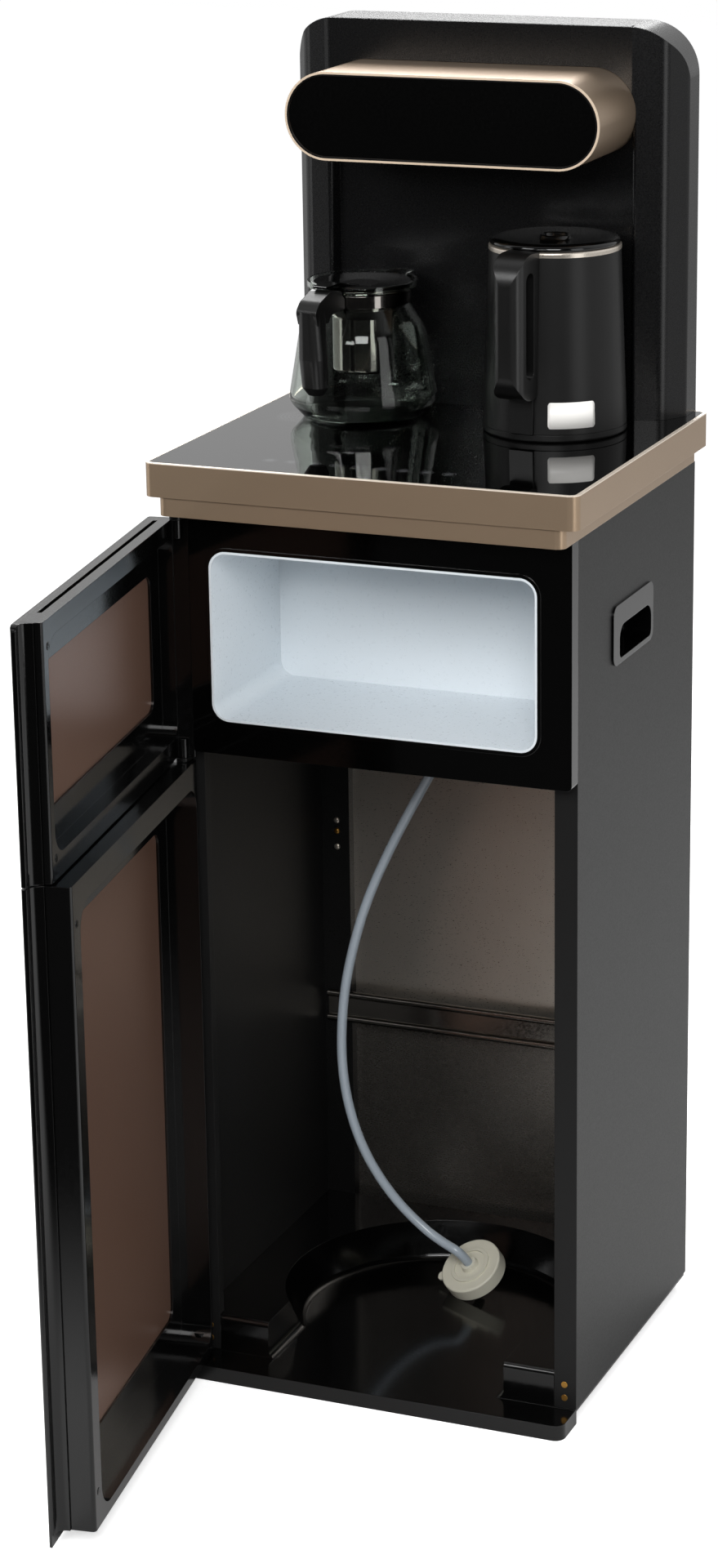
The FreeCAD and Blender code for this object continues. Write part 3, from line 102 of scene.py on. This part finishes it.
def surface(name, colour, rough, metal=0.0, spec=0.5, tone=0.12, tone_mm=110.0, grain_mm=2.5,
            bump=0.02, stretch=(1, 1, 1), spread=0.04, edge_mm=0.5, bare=None):
    """Material of a solid piece. Its colour drifts by `tone` over tone_mm, its
    roughness by `spread` over grain_mm, which also lifts a shallow bump, and its
    edges catch light as if rounded by edge_mm. The real grain is finer: it is drawn
    as coarse as it needs to show. `bare` is a function from the tree and the Object coordinates to
    the (mask, colour, metal) of a strip where a highlight is painted in, a paler metal standing in
    for the light a rounded edge catches."""
    bump_height = 0.0004
    material, tree = empty_material(name)
    where = add(tree, "ShaderNodeTexCoord").outputs["Object"]
    grain_at = add(tree, "ShaderNodeMapping", {"Vector": where, "Scale": stretch}).outputs[0]
    drift = add(tree, "ShaderNodeTexNoise", {
        "Vector": where, "Scale": 1000 / tone_mm, "Detail": 4.0, "Roughness": 0.55,
    })
    grain = add(tree, "ShaderNodeTexNoise", {
        "Vector": grain_at, "Scale": 1000 / grain_mm, "Detail": 3.0, "Roughness": 0.6,
    })
    base = hex_rgb(colour)[:3]
    low = (*[c * (1 - tone) for c in base], 1)
    high = (*[min(1, c * (1 + tone)) for c in base], 1)
    shade = add(tree, "ShaderNodeMix", {
        0: drift.outputs["Fac"], 6: low, 7: high,
    }, data_type="RGBA").outputs[2]
    dull = add(tree, "ShaderNodeMapRange", {
        "Value": grain.outputs["Fac"], "From Min": 0.3, "From Max": 0.7,
        "To Min": max(0.01, rough - spread), "To Max": min(1, rough + spread),
    }).outputs[0]
    # A strip with a painted highlight: its pale colour and metal replace the surface's own.
    if bare:
        mask, other, other_metal = bare(tree, where)
        shade = add(tree, "ShaderNodeMix", {
            0: mask, 6: shade, 7: other,
        }, data_type="RGBA").outputs[2]
        metal = add(tree, "ShaderNodeMix", {
            "Factor": mask, "A": metal, "B": other_metal,
        }).outputs[0]
    relief = {"Height": grain.outputs["Fac"], "Strength": bump, "Distance": bump_height}
    if edge_mm:
        rounded = add(tree, "ShaderNodeBevel", {"Radius": edge_mm / 1000}, samples=4)
        relief["Normal"] = rounded.outputs[0]
    shader = add(tree, "ShaderNodeBsdfPrincipled", {
        "Base Color": shade, "Roughness": dull, "Metallic": metal, "Specular IOR Level": spec,
        "Normal": add(tree, "ShaderNodeBump", relief).outputs[0],
    })
    add(tree, "ShaderNodeOutputMaterial", {"Surface": shader.outputs[0]})
    return material


# Milky tube: the wall scatters light, so the eye sees a soft bluish white skin.
silicone_tube = surface("silicone tube", "#ABB6C0", 0.20, tone=0.04, bump=0.01, edge_mm=0)


def suction_hose():
    """A NURBS line of degree 2 through these points in mm, the same as in the
    solids, with a round section carried along it."""
    radius = 0.004
    route = np.array([
        (-6, 24, 516.0), (-6, 24, 488), (-23.5, 24, 457), (-54, 24, 400), (-76, 24, 351.5),
        (-89.6, 24.3, 307.6), (-99, 25, 263.7), (-102.5, 26, 213), (-98, 27, 170),
        (-84.6, 28.5, 127.7), (-60.3, 30.2, 90.6), (-33, 31, 66), (-14.5, 29, 56.5),
        (2.2, 24.7, 52.2), (5.9, 31.9, 41.0),
    ]) / 1000
    curve = bpy.data.curves.new("suction_hose_line", "CURVE")
    curve.dimensions = "3D"
    line = curve.splines.new("NURBS")
    line.points.add(len(route) - 1)
    line.points.foreach_set("co", np.c_[route, np.ones(len(route))].ravel())
    line.order_u = 3
    line.use_endpoint_u = True
    line.resolution_u = 16
    curve.bevel_depth = radius
    curve.bevel_resolution = 6
    curve.use_fill_caps = True
    curve.materials.append(silicone_tube)
    hose = bpy.data.objects.new("suction_hose_soft", curve)
    scene.collection.objects.link(hose)
    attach(hose, "cabinet")
    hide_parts("suction_hose")


suction_hose()


# Surroundings: white paper under and behind the object. Mirrors see it end in
# front, where the room is dark, and soft boxes stand on all sides.
def white_backdrop():
    """Strength 1 for the camera and through glass, a ramp from dark in front to
    pale behind for mirrors, and a low even light for everything else."""
    fill, in_front, behind = 0.45, 0.04, 0.80
    world = bpy.data.worlds.new("studio")
    scene.world = world
    world.use_nodes = True
    tree = world.node_tree
    tree.nodes.clear()
    rays = add(tree, "ShaderNodeLightPath").outputs
    where = add(tree, "ShaderNodeTexCoord").outputs["Generated"]
    split = add(tree, "ShaderNodeSeparateXYZ", {"Vector": where}).outputs
    mirrored = add(tree, "ShaderNodeMapRange", {
        "Value": split["Y"], "From Min": -0.55, "From Max": 0.15,
        "To Min": in_front, "To Max": behind,
    }, interpolation_type="SMOOTHSTEP")
    seen = add(tree, "ShaderNodeMix", {
        "Factor": rays["Is Glossy Ray"], "A": 1.0, "B": mirrored.outputs[0],
    })
    sharp = rays["Is Camera Ray"]
    for kind in ("Is Glossy Ray", "Is Transmission Ray"):
        either = add(tree, "ShaderNodeMath", {0: sharp, 1: rays[kind]}, operation="MAXIMUM")
        sharp = either.outputs[0]
    power = add(tree, "ShaderNodeMix", {"Factor": sharp, "A": fill, "B": seen.outputs[0]})
    sky = add(tree, "ShaderNodeBackground", {"Color": (1, 1, 1, 1), "Strength": power.outputs[0]})
    add(tree, "ShaderNodeOutputWorld", {"Surface": sky.outputs[0]})


def soft_boxes():
    for name, spot, aim, width, height, watts in (
        ("key_front", (0.9, -2.6, 2.2), (0, 0, 0.5), 1.2, 1.2, 48),
        ("low_front", (-0.15, -3.0, 1.75), (0, 0, 0.4), 0.8, 0.4, 10),
        ("strip_right", (1.9, -1.05, 1.05), (0, 0, 0.75), 0.8, 2.0, 9),
        ("strip_left", (-2.1, -0.7, 1.1), (0, 0, 0.75), 0.5, 2.0, 4),
        ("high_left", (-1.3, -2.2, 2.2), (0, 0, 0.8), 1.0, 1.0, 22),
        ("rear_top", (-0.7, 1.7, 2.3), (0, 0, 0.9), 1.2, 1.2, 54),
    ):
        lamp = bpy.data.lights.new(name, "AREA")
        lamp.shape = "RECTANGLE"
        lamp.size = width
        lamp.size_y = height
        lamp.energy = watts
        holder = bpy.data.objects.new(name, lamp)
        holder.location = spot
        toward = Vector(aim) - Vector(spot)
        holder.rotation_euler = toward.to_track_quat("-Z", "Y").to_euler()
        scene.collection.objects.link(holder)


def paper_floor():
    """A square of paper. The camera sees it white with the object's shadow; to
    other rays it turns dark within half a metre in front of the object."""
    reach, dark, pale, seen, lift = 9, 0.03, 0.82, 0.85, 0.62
    corners = [(-reach, -reach, 0), (reach, -reach, 0), (reach, reach, 0), (-reach, reach, 0)]
    mesh = bpy.data.meshes.new("floor")
    mesh.from_pydata(corners, [], [(0, 1, 2, 3)])
    floor = bpy.data.objects.new("floor", mesh)
    scene.collection.objects.link(floor)
    paper, tree = empty_material("white paper floor")
    rays = add(tree, "ShaderNodeLightPath").outputs
    where = add(tree, "ShaderNodeTexCoord").outputs["Object"]
    split = add(tree, "ShaderNodeSeparateXYZ", {"Vector": where}).outputs
    lit = add(tree, "ShaderNodeMapRange", {
        "Value": split["Y"], "From Min": -1.15, "From Max": -0.62, "To Min": dark, "To Max": pale,
    }, interpolation_type="SMOOTHSTEP")
    shown = add(tree, "ShaderNodeMix", {
        "Factor": rays["Is Camera Ray"], "A": lit.outputs[0], "B": seen,
    })
    paint = add(tree, "ShaderNodeBsdfDiffuse", {"Color": shown.outputs[0]})
    glow = add(tree, "ShaderNodeEmission", {"Color": (1, 1, 1, 1), "Strength": lift})
    both = add(tree, "ShaderNodeAddShader", {0: paint.outputs[0], 1: glow.outputs[0]})
    pick = add(tree, "ShaderNodeMixShader", {
        0: rays["Is Camera Ray"], 1: paint.outputs[0], 2: both.outputs[0],
    })
    add(tree, "ShaderNodeOutputMaterial", {"Surface": pick.outputs[0]})
    mesh.materials.append(paper)


white_backdrop()
soft_boxes()
paper_floor()


# Base: one injection-moulded ABS tray with the well for the bottle and a lip that
# fronts the cabinet, on four rubber feet pressed into its ribbed underside.
def wear(look, names):
    """Give one material to each of the named solids."""
    for name in names.split():
        slots = nodes[name].data.materials
        slots.clear()
        slots.append(look)


# Moulded ABS from a smooth mould: deep black with clear, slightly soft mirrors.
moulded_abs = surface("moulded black ABS", "#040404", 0.13, bump=0.015)
# Natural rubber: dull, and a little lighter than the plastic.
rubber = surface("matte rubber", "#101010", 0.75)
wear(moulded_abs, "base_tray")
wear(rubber, "base_feet")


# Cabinet: two folded steel sides with moulded hand-holds, two painted posts, a
# rolled rail and bare sheets across the back, all joined by screws and rivets.
# Powder coat: fine grain that turns light into an even dark grey.
powder_coat = surface("black powder coat", "#121212", 0.45, grain_mm=1.1, bump=0.05, spec=0.28)
# Sprayed enamel on steel: black, with a wider shine than the plastic has.
painted_steel = surface("black painted steel", "#0A0A0A", 0.30, grain_mm=1.1, bump=0.04)
# Zinc-coated sheet: warm grey, brightest where it mirrors the lamps in a blur.
zinc_sheet = surface(
    "galvanised sheet", "#C9C2B8", 0.33, metal=0.95, tone=0.06, tone_mm=42, grain_mm=1.1,
    bump=0.04, spread=0.08, stretch=(0.5, 0.5, 1.4),
)
# Cold rolled sheet: darker and smoother than zinc, with streaks along the rolling.
cold_rolled_sheet = surface(
    "cold rolled sheet", "#77736E", 0.27, metal=0.9, tone=0.08, grain_mm=1.1, bump=0.03,
    spread=0.05, stretch=(0.5, 0.5, 1.4),
)
# Rolled steel: its beads draw the light out into thin bright lines.
rolled_rail = surface("rolled steel rail", "#8E8A84", 0.17, metal=1.0, tone=0.05, bump=0.01)
# Brass plating: small warm glints against the black.
brass = surface("brass screws", "#B98A45", 0.3, metal=1.0)
wear(powder_coat, "side_panel_left side_panel_right")
wear(moulded_abs, "side_handle_left side_handle_right drain_plugs cord_gland")
wear(painted_steel, "rear_post_left rear_post_right")
wear(rolled_rail, "cross_rail")
wear(zinc_sheet, "rear_panel_upper rear_screws")
wear(cold_rolled_sheet, "rear_panel_lower service_cover")
wear(brass, "flange_screws")


# Small round heads in the left post: turned steel above and below a brass one,
# each driven into the post from inside the bay.
def grid_faces(rows, columns, ring=False):
    """Quads of a grid of points in row order; a ring joins its last column to its
    first. A face points along row step x column step."""
    row, column = np.mgrid[0:rows - 1, 0:columns if ring else columns - 1]
    after = (column + 1) % columns
    near, far = row * columns, (row + 1) * columns
    quads = np.stack([near + column, far + column, far + after, near + after], axis=-1)
    return quads.reshape(-1, 4).tolist()


def turned(profile, steps=28):
    """A profile of (radius, height) turned round the Z axis and closed at its last
    ring: each point is (r cos a, r sin a, h)."""
    profile = np.array(profile)
    angle = np.arange(steps) * 2 * np.pi / steps
    radius, height = profile[:, :1], profile[:, 1:]
    points = np.stack([
        radius * np.cos(angle), radius * np.sin(angle), height + 0 * angle,
    ], axis=-1)
    faces = [quad[::-1] for quad in grid_faces(len(profile), steps, ring=True)]
    faces.append(list(range((len(profile) - 1) * steps, len(profile) * steps)))
    return points.reshape(-1, 3), faces


def placed(points, place):
    """Points moved by a 4 x 4 matrix."""
    place = np.array(place)
    return points @ place[:3, :3].T + place[:3, 3]


def piece(name, points, faces, look, body, smooth=True):
    """A mesh piece of one material that rides on a body."""
    mesh = bpy.data.meshes.new(name)
    mesh.from_pydata(points.reshape(-1, 3).tolist(), [], faces)
    mesh.polygons.foreach_set("use_smooth", [smooth] * len(faces))
    mesh.materials.append(look)
    made = bpy.data.objects.new(name, mesh)
    scene.collection.objects.link(made)
    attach(made, body)
    return made


# Brushed stainless: fine lines that widen each highlight.
brushed_steel = surface(
    "brushed stainless steel", "#D8CFC3", 0.30, metal=0.9, tone=0.03, grain_mm=1.1,
)


def post_heads():
    """Domed heads 5.4 mm across, turned and laid on the post's front face."""
    points, faces = turned([(0.0027, 0.0), (0.0026, 0.0006), (0.0019, 0.0012), (0.0009, 0.0014)])
    facing_front = Matrix.Rotation(math.radians(90), 4, "X")
    x, y = -0.145, 0.1252
    for name, z, look in (
        ("post_head_high", 0.3790, brushed_steel),
        ("post_head_middle", 0.3697, brass),
        ("post_head_low", 0.3560, brushed_steel),
    ):
        place = Matrix.Translation((x, y, z)) @ facing_front
        piece(name, placed(points, place), faces, look, "cabinet")


post_heads()


# Cool box: a glossy moulded bezel round a thermoformed white liner. Behind it sit
# the foamed cold tank, the cooler with its heat sink and fan, and a steel deck.
# Polished ABS: near black, with sharp mirrors of the paper and the lamps.
gloss_abs = surface("gloss black ABS", "#020202", 0.10, bump=0.008)
# Thermoformed polystyrene: milky white with a soft shine and almost no grain.
white_liner = surface("white polystyrene liner", "#D8DFE4", 0.30, tone=0.02, bump=0.01)
# Moulded foam: matte and off-white, with cells that show as a rough skin.
foam = surface("foam", "#D8D6CC", 0.9, bump=0.2, grain_mm=4)
# Drawn stainless, polished: dark where the room is dark, white at the soft boxes.
polished_steel = surface(
    "polished stainless steel", "#8E8A86", 0.10, metal=1.0, tone=0.04, bump=0.01,
)
# Extruded and folded aluminium: pale and evenly satin.
aluminium = surface("aluminium", "#B9BABC", 0.35, metal=1.0)
wear(gloss_abs, "cabinet_bezel")
wear(white_liner, "storage_liner thermoelectric_module")
wear(foam, "tank_insulation")
wear(polished_steel, "cold_tank")
wear(aluminium, "heatsink")
wear(moulded_abs, "fan_frame fan_rotor")
wear(zinc_sheet, "service_deck")


# Pump and electronics: a moulded diaphragm pump above the hose, fibreglass boards
# and a power supply in a folded aluminium case, screwed to the deck and the sides.
# Solder mask on fibreglass: dark green with a soft shine.
fibreglass = surface("fibreglass board", "#17492A", 0.45)
wear(white_liner, "bottle_pump")
wear(fibreglass, "control_board")
wear(aluminium, "power_supply")


# Bottle cap: moulded polyethylene with a pull tab, pushed over the bottle's neck.
# Its skin is ivory and softly shiny.
polyethylene = surface("ivory polyethylene", "#DCD9C8", 0.36, tone=0.04)
wear(polyethylene, "bottle_cap")


# Doors: each a glossy moulded shell closed by a stepped inner frame, which holds a
# sheet painted rose brown at the back. They turn on pins in painted steel brackets.
# Paint over aluminium: a warm satin brown that turns darker away from the light.
rose_brown = surface(
    "rose brown painted sheet", "#7E6051", 0.36, metal=0.5, tone=0.05, grain_mm=0.55, bump=0.04,
)
wear(gloss_abs, "upper_door_shell lower_door_shell")
wear(moulded_abs, "upper_door_frame lower_door_frame")
wear(rose_brown, "upper_door_insert lower_door_insert")
wear(painted_steel, "hinge_brackets")


def door_plugs():
    """Snap-in plugs over the frame's screws, on the rims by the free edge: a turned
    button 5.8 mm across with a groove, placed on the closed door and opened with it."""
    points, faces = turned([
        (0.0029, 0.0), (0.0029, 0.00022), (0.0026, 0.0004), (0.0022, 0.00026), (0.0019, 0.0004),
        (0.0006, 0.00052),
    ])
    hinge, opening = Vector((-0.1549, -0.1467, 0)), math.radians(-81.49)
    opened = (
        Matrix.Translation(hinge) @ Matrix.Rotation(opening, 4, "Z") @ Matrix.Translation(-hinge)
    )
    facing_back = Matrix.Rotation(math.radians(-90), 4, "X")
    for name, body, x, y, z in (
        ("upper_plug_high", "upper_door", 0.1376, -0.15035, 0.6790),
        ("upper_plug_low", "upper_door", 0.1376, -0.15035, 0.5270),
        ("lower_plug_high", "lower_door", 0.1390, -0.1370, 0.4800),
        ("lower_plug_low", "lower_door", 0.1390, -0.1370, 0.0420),
    ):
        place = opened @ Matrix.Translation((x, y, z)) @ facing_back
        piece(name, placed(points, place), faces, moulded_abs, body)


door_plugs()


# Counter: an aluminium band in champagne anodising, bent round three sides over a
# moulded skirt. A highlight is painted along its top edge.
# Metal share of the painted highlights on the band's top edge and the sleeve's rim.
painted_highlight_metal = 0.25


def painted_highlight_top(tree, where):
    """A painted highlight: pale metal colour from 0.3 mm below the band's top edge upwards, in
    place of the light a rounded edge would catch.
    """
    highlight_start, highlight_end = 0.7442, 0.7447
    split = add(tree, "ShaderNodeSeparateXYZ", {"Vector": where}).outputs
    mask = add(tree, "ShaderNodeMapRange", {
        "Value": split["Z"], "From Min": highlight_start, "From Max": highlight_end,
    })
    # Pale colour of the painted highlight.
    return mask.outputs[0], hex_rgb("#F6E8D8"), painted_highlight_metal


# Champagne anodising over fine blasting: warm, satin, lighter where lit from above, with a
# highlight painted along the band's top edge.
champagne = surface(
    "champagne anodised aluminium", "#AC957D", 0.34, metal=0.72, tone=0.05, grain_mm=0.7,
    bump=0.04, bare=painted_highlight_top,
)
wear(champagne, "counter_skirt counter_band")


# Worktop: tempered glass painted black underneath, laid in the band. Marks are
# screen-printed: nine touch rings along the front and fine rings by the teapot.
def worktop_glass():
    """Black that mirrors sharply. A touch ring is a dot and a thin ring round the
    nearest of nine spots in a row; the fine rings are a share of each 3 mm of
    distance from their middle. All lengths are in metres."""
    first, pitch, count, row = -0.0834, 0.0178, 9, -0.1322
    dot_radius, ring_radius, ring_half = 0.0036, 0.0050, 0.00035
    middle, line_pitch, line_share, outermost = (-0.1205, 0.0185, 0), 0.0030, 0.36, 0.0215
    haze_mm = 33
    material, tree = empty_material("black painted glass")
    where = add(tree, "ShaderNodeTexCoord").outputs["Object"]
    flat = add(tree, "ShaderNodeVectorMath", {
        0: where, 1: (1, 1, 0),
    }, operation="MULTIPLY").outputs[0]

    across = add(tree, "ShaderNodeSeparateXYZ", {"Vector": where}).outputs["X"]
    cell = add(tree, "ShaderNodeMapRange", {
        "Value": across, "From Min": first, "From Max": first + (count - 1) * pitch,
        "To Max": count - 1.0,
    }).outputs[0]
    key = add(tree, "ShaderNodeMath", {0: cell}, operation="ROUND").outputs[0]
    key_x = add(tree, "ShaderNodeMath", {
        0: key, 1: pitch, 2: first,
    }, operation="MULTIPLY_ADD").outputs[0]
    key_spot = add(tree, "ShaderNodeCombineXYZ", {"X": key_x, "Y": row}).outputs[0]
    from_key = add(tree, "ShaderNodeVectorMath", {
        0: flat, 1: key_spot,
    }, operation="DISTANCE").outputs["Value"]
    dot = add(tree, "ShaderNodeMath", {
        0: from_key, 1: dot_radius,
    }, operation="LESS_THAN").outputs[0]
    ring = add(tree, "ShaderNodeMath", {
        0: from_key, 1: ring_radius, 2: ring_half,
    }, operation="COMPARE").outputs[0]
    keys = add(tree, "ShaderNodeMath", {0: dot, 1: ring}, operation="MAXIMUM").outputs[0]

    from_middle = add(tree, "ShaderNodeVectorMath", {
        0: flat, 1: middle,
    }, operation="DISTANCE").outputs["Value"]
    turns = add(tree, "ShaderNodeMath", {
        0: from_middle, 1: line_pitch,
    }, operation="DIVIDE").outputs[0]
    phase = add(tree, "ShaderNodeMath", {0: turns}, operation="FRACT").outputs[0]
    line = add(tree, "ShaderNodeMath", {0: phase, 1: line_share}, operation="LESS_THAN").outputs[0]
    near = add(tree, "ShaderNodeMath", {
        0: from_middle, 1: outermost,
    }, operation="LESS_THAN").outputs[0]
    rings = add(tree, "ShaderNodeMath", {0: line, 1: near}, operation="MULTIPLY").outputs[0]

    printed = add(tree, "ShaderNodeMath", {0: keys, 1: rings}, operation="MAXIMUM").outputs[0]
    shade = add(tree, "ShaderNodeMix", {
        0: printed, 6: hex_rgb("#020202"), 7: hex_rgb("#47484A"),
    }, data_type="RGBA").outputs[2]
    haze = add(tree, "ShaderNodeTexNoise", {
        "Vector": where, "Scale": 1000 / haze_mm, "Detail": 2.0,
    })
    dull = add(tree, "ShaderNodeMapRange", {
        "Value": haze.outputs["Fac"], "To Min": 0.008, "To Max": 0.022,
    })
    shader = add(tree, "ShaderNodeBsdfPrincipled", {
        "Base Color": shade, "Roughness": dull.outputs[0],
    })
    add(tree, "ShaderNodeOutputMaterial", {"Surface": shader.outputs[0]})
    return material


wear(worktop_glass(), "glass_top")
wear(aluminium, "warming_plate")
wear(moulded_abs, "kettle_socket touch_board")


# Tower: a moulded front with two pillars, closed by a back cover with clips. It
# carries the water lines to the spouts in the head.
# Satin ABS: a fine texture in the mould spreads each highlight along the pillars.
satin_abs = surface("satin black ABS", "#050506", 0.28, grain_mm=1.1, spec=0.45)
wear(satin_abs, "tower_front tower_back")
wear(silicone_tube, "water_lines")
wear(polished_steel, "spouts")
head_axis, head_half = 0.9803, 0.0927


def tower_brow():
    """Above the head the front runs flush from pillar to pillar, down to the head's
    outline. Its lower edge follows sqrt(r^2 - (|x| - half)^2) round the head, its
    upper corners have a 40 mm radius, and its sides slope back onto the pillars."""
    top, corner, corner_from, top_gap = 1.0445, 0.040, 0.120, 0.00015
    head_radius, head_gap = 0.0334, 0.0002
    flat_y, slope_y, slope, back_y = 0.08575, 0.0860, 0.298, 0.0885
    slope_from, outermost, proud = 0.1235, 0.128, 0.0002
    sides = np.array([
        outermost, 0.1272, 0.1264, 0.1256, 0.1245, 0.123, 0.120, 0.116, 0.112, 0.107, 0.102,
        0.097, head_half,
    ])
    x = np.concatenate([-sides, [-0.06, -0.02, 0.02, 0.06], sides[::-1]])
    away = np.abs(x)
    past_half = np.maximum(0, away - head_half)
    low = head_axis + np.sqrt(np.maximum(0, head_radius ** 2 - past_half ** 2)) + head_gap
    past_corner = np.maximum(0, away - corner_from)
    high = top - corner + np.sqrt(corner ** 2 - past_corner ** 2) - top_gap
    lift = proud * (outermost - away) / (outermost - slope_from)
    depth = np.where(away < slope_from, flat_y, slope_y + (away - slope_from) * slope - lift)
    points = np.stack([
        np.stack([x, x, x, x], axis=1),
        np.stack([depth, depth, depth, np.full_like(x, back_y)], axis=1),
        np.stack([low, (low + high) / 2, high, high], axis=1),
    ], axis=-1)
    piece("tower_brow", points, grid_faces(len(x), 4), satin_abs, "cabinet", smooth=False)


tower_brow()


# Head: an extruded sleeve in champagne anodising, cantilevered from the tower. A
# gloss black panel closes it over the display, and a highlight is painted round its rim.
def painted_highlight_rim(tree, where):
    """On the front face of the sleeve, a painted highlight in pale metal colour within 1.7 mm of
    its outline, and black inside that; the distance from the axis of the stadium is the length of
    (max(|x| - half, 0), z - axis)."""
    face_start, face_end, radius, bright_width = 0.0052, 0.0047, 0.0333, 0.0017
    split = add(tree, "ShaderNodeSeparateXYZ", {"Vector": where}).outputs
    front = add(tree, "ShaderNodeMapRange", {
        "Value": split["Y"], "From Min": face_start, "From Max": face_end,
    }).outputs[0]
    away = add(tree, "ShaderNodeMath", {0: split["X"]}, operation="ABSOLUTE").outputs[0]
    past = add(tree, "ShaderNodeMath", {0: away, 1: head_half}, operation="SUBTRACT").outputs[0]
    round_end = add(tree, "ShaderNodeMath", {0: past, 1: 0.0}, operation="MAXIMUM").outputs[0]
    height = add(tree, "ShaderNodeMath", {
        0: split["Z"], 1: head_axis,
    }, operation="SUBTRACT").outputs[0]
    offset = add(tree, "ShaderNodeCombineXYZ", {"X": round_end, "Z": height}).outputs[0]
    reach = add(tree, "ShaderNodeVectorMath", {0: offset}, operation="LENGTH").outputs["Value"]
    outer = add(tree, "ShaderNodeMath", {
        0: reach, 1: radius - bright_width,
    }, operation="GREATER_THAN").outputs[0]
    # Painted highlight in pale metal colour round the outline, black inside it.
    colour = add(tree, "ShaderNodeMix", {
        0: outer, 6: hex_rgb("#060505"), 7: hex_rgb("#E4CFB7"),
    }, data_type="RGBA").outputs[2]
    return front, colour, painted_highlight_metal


# The same anodising on an extrusion: a little rosier and more mirror-like, with a highlight
# painted round the rim of its front face.
champagne_sleeve = surface(
    "champagne anodised sleeve", "#A48F79", 0.32, metal=0.78, tone=0.05, grain_mm=0.7,
    bump=0.04, bare=painted_highlight_rim,
)
# Back-painted acrylic: flat, deep black and free of grain.
acrylic_panel = surface("black acrylic panel", "#040404", 0.12, bump=0.0, edge_mm=0)
wear(champagne_sleeve, "head_sleeve")
wear(acrylic_panel, "head_panel")
wear(fibreglass, "display_board")


# Kettle: a steel pot in a double-wall shell with a soft-touch coating, a moulded
# handle and a dished lid. It stands on the socket in the worktop.
# Soft-touch coating: charcoal, with one wide dim highlight down its side.
soft_touch = surface(
    "soft-touch coating", "#0C0C0C", 0.38, tone=0.05, grain_mm=0.6, bump=0.06, spec=0.34,
)
# Satin nylon: the handle's long soft highlights show its rounded back.
satin_nylon = surface(
    "satin black nylon", "#0A0A0A", 0.34, tone=0.05, grain_mm=1.1, spec=0.6,
)
# Aluminium foil plate, pressed on: an even silver white.
foil = surface("bare silver foil", "#FAF8F4", 0.34, tone=0.03, grain_mm=1.1, edge_mm=0)
kettle_x, kettle_y = 0.0781, 0.0412
wear(soft_touch, "kettle_shell")
wear(satin_nylon, "kettle_handle")
wear(brushed_steel, "kettle_pot")


def kettle_lid():
    """A dished disc with a low pouring port, turned from rings of (radius, height)
    about the kettle's axis and closed underneath, over the plug in the pot."""
    rim_z, steps = 0.8880, 96
    points, faces = turned([
        (0.0020, -0.0060), (0.0440, -0.0060), (0.0460, -0.0050), (0.0460, 0.0000),
        (0.0480, 0.0000), (0.0493, 0.0005), (0.0494, 0.0022), (0.0488, 0.0035),
        (0.0470, 0.0044), (0.0430, 0.0050), (0.0400, 0.0050), (0.0340, 0.0044),
        (0.0220, 0.0034), (0.0135, 0.0030), (0.0122, 0.0032), (0.0116, 0.0052),
        (0.0108, 0.0062), (0.0096, 0.0062), (0.0088, 0.0054), (0.0084, 0.0016),
        (0.0070, 0.0012), (0.0020, 0.0014),
    ], steps)
    faces.append(list(range(steps - 1, -1, -1)))
    centre = (kettle_x, kettle_y, rim_z)
    made = piece("kettle_lid_dished", points + centre, faces, gloss_abs, "kettle_lid")
    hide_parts("kettle_lid")


def kettle_bare_plate():
    """A plate with rounded corners bent round the cone of the shell: at turn t and
    height z the point is (x + r sin t, y - r cos t, z), where r shrinks with z."""
    foot_z, rim_z, foot_radius, taper, middle_radius = 0.7514, 0.8840, 0.05481, 0.00485, 0.0545
    start, end, low, high, corner = math.radians(14), math.radians(53), 0.7560, 0.7760, 0.0022
    columns, thickness = 41, 0.00015
    turn = np.linspace(start, end, columns)
    inset = np.minimum(np.minimum(turn - start, end - turn) * middle_radius, corner)
    shrink = corner - np.sqrt(np.maximum(0, corner ** 2 - (corner - inset) ** 2))
    z = np.stack([low + shrink, high - shrink], axis=1)
    radius = foot_radius - taper * (z - foot_z) / (rim_z - foot_z)
    turn = turn[:, None]
    points = np.stack([
        kettle_x + radius * np.sin(turn), kettle_y - radius * np.cos(turn), z,
    ], axis=-1)
    made = piece("kettle_bare_plate", points, grid_faces(columns, 2), foil, "kettle")
    wall = made.modifiers.new("thickness", "SOLIDIFY")
    wall.thickness = thickness
    wall.offset = 1


kettle_lid()
kettle_bare_plate()


# Teapot: a blown borosilicate body held by a steel band with a moulded handle, a
# glossy lid and a perforated steel infuser that hangs in its neck.
def blown_glass():
    """Clear glass with a trace of green; its skin is smooth with the faint waves
    of hot glass, about 17 mm apart."""
    wave_mm, bend = 17, 1.33
    material, tree = empty_material("borosilicate glass")
    where = add(tree, "ShaderNodeTexCoord").outputs["Object"]
    waves = add(tree, "ShaderNodeTexNoise", {
        "Vector": where, "Scale": 1000 / wave_mm, "Detail": 2.0,
    })
    dull = add(tree, "ShaderNodeMapRange", {
        "Value": waves.outputs["Fac"], "To Min": 0.002, "To Max": 0.006,
    })
    shader = add(tree, "ShaderNodeBsdfPrincipled", {
        "Base Color": hex_rgb("#F5FBF6"), "Roughness": dull.outputs[0], "IOR": bend,
        "Transmission Weight": 1.0,
    })
    add(tree, "ShaderNodeOutputMaterial", {"Surface": shader.outputs[0]})
    return material


wear(blown_glass(), "teapot_glass")
wear(polished_steel, "teapot_band teapot_infuser")
wear(satin_nylon, "teapot_handle")
wear(gloss_abs, "teapot_lid")
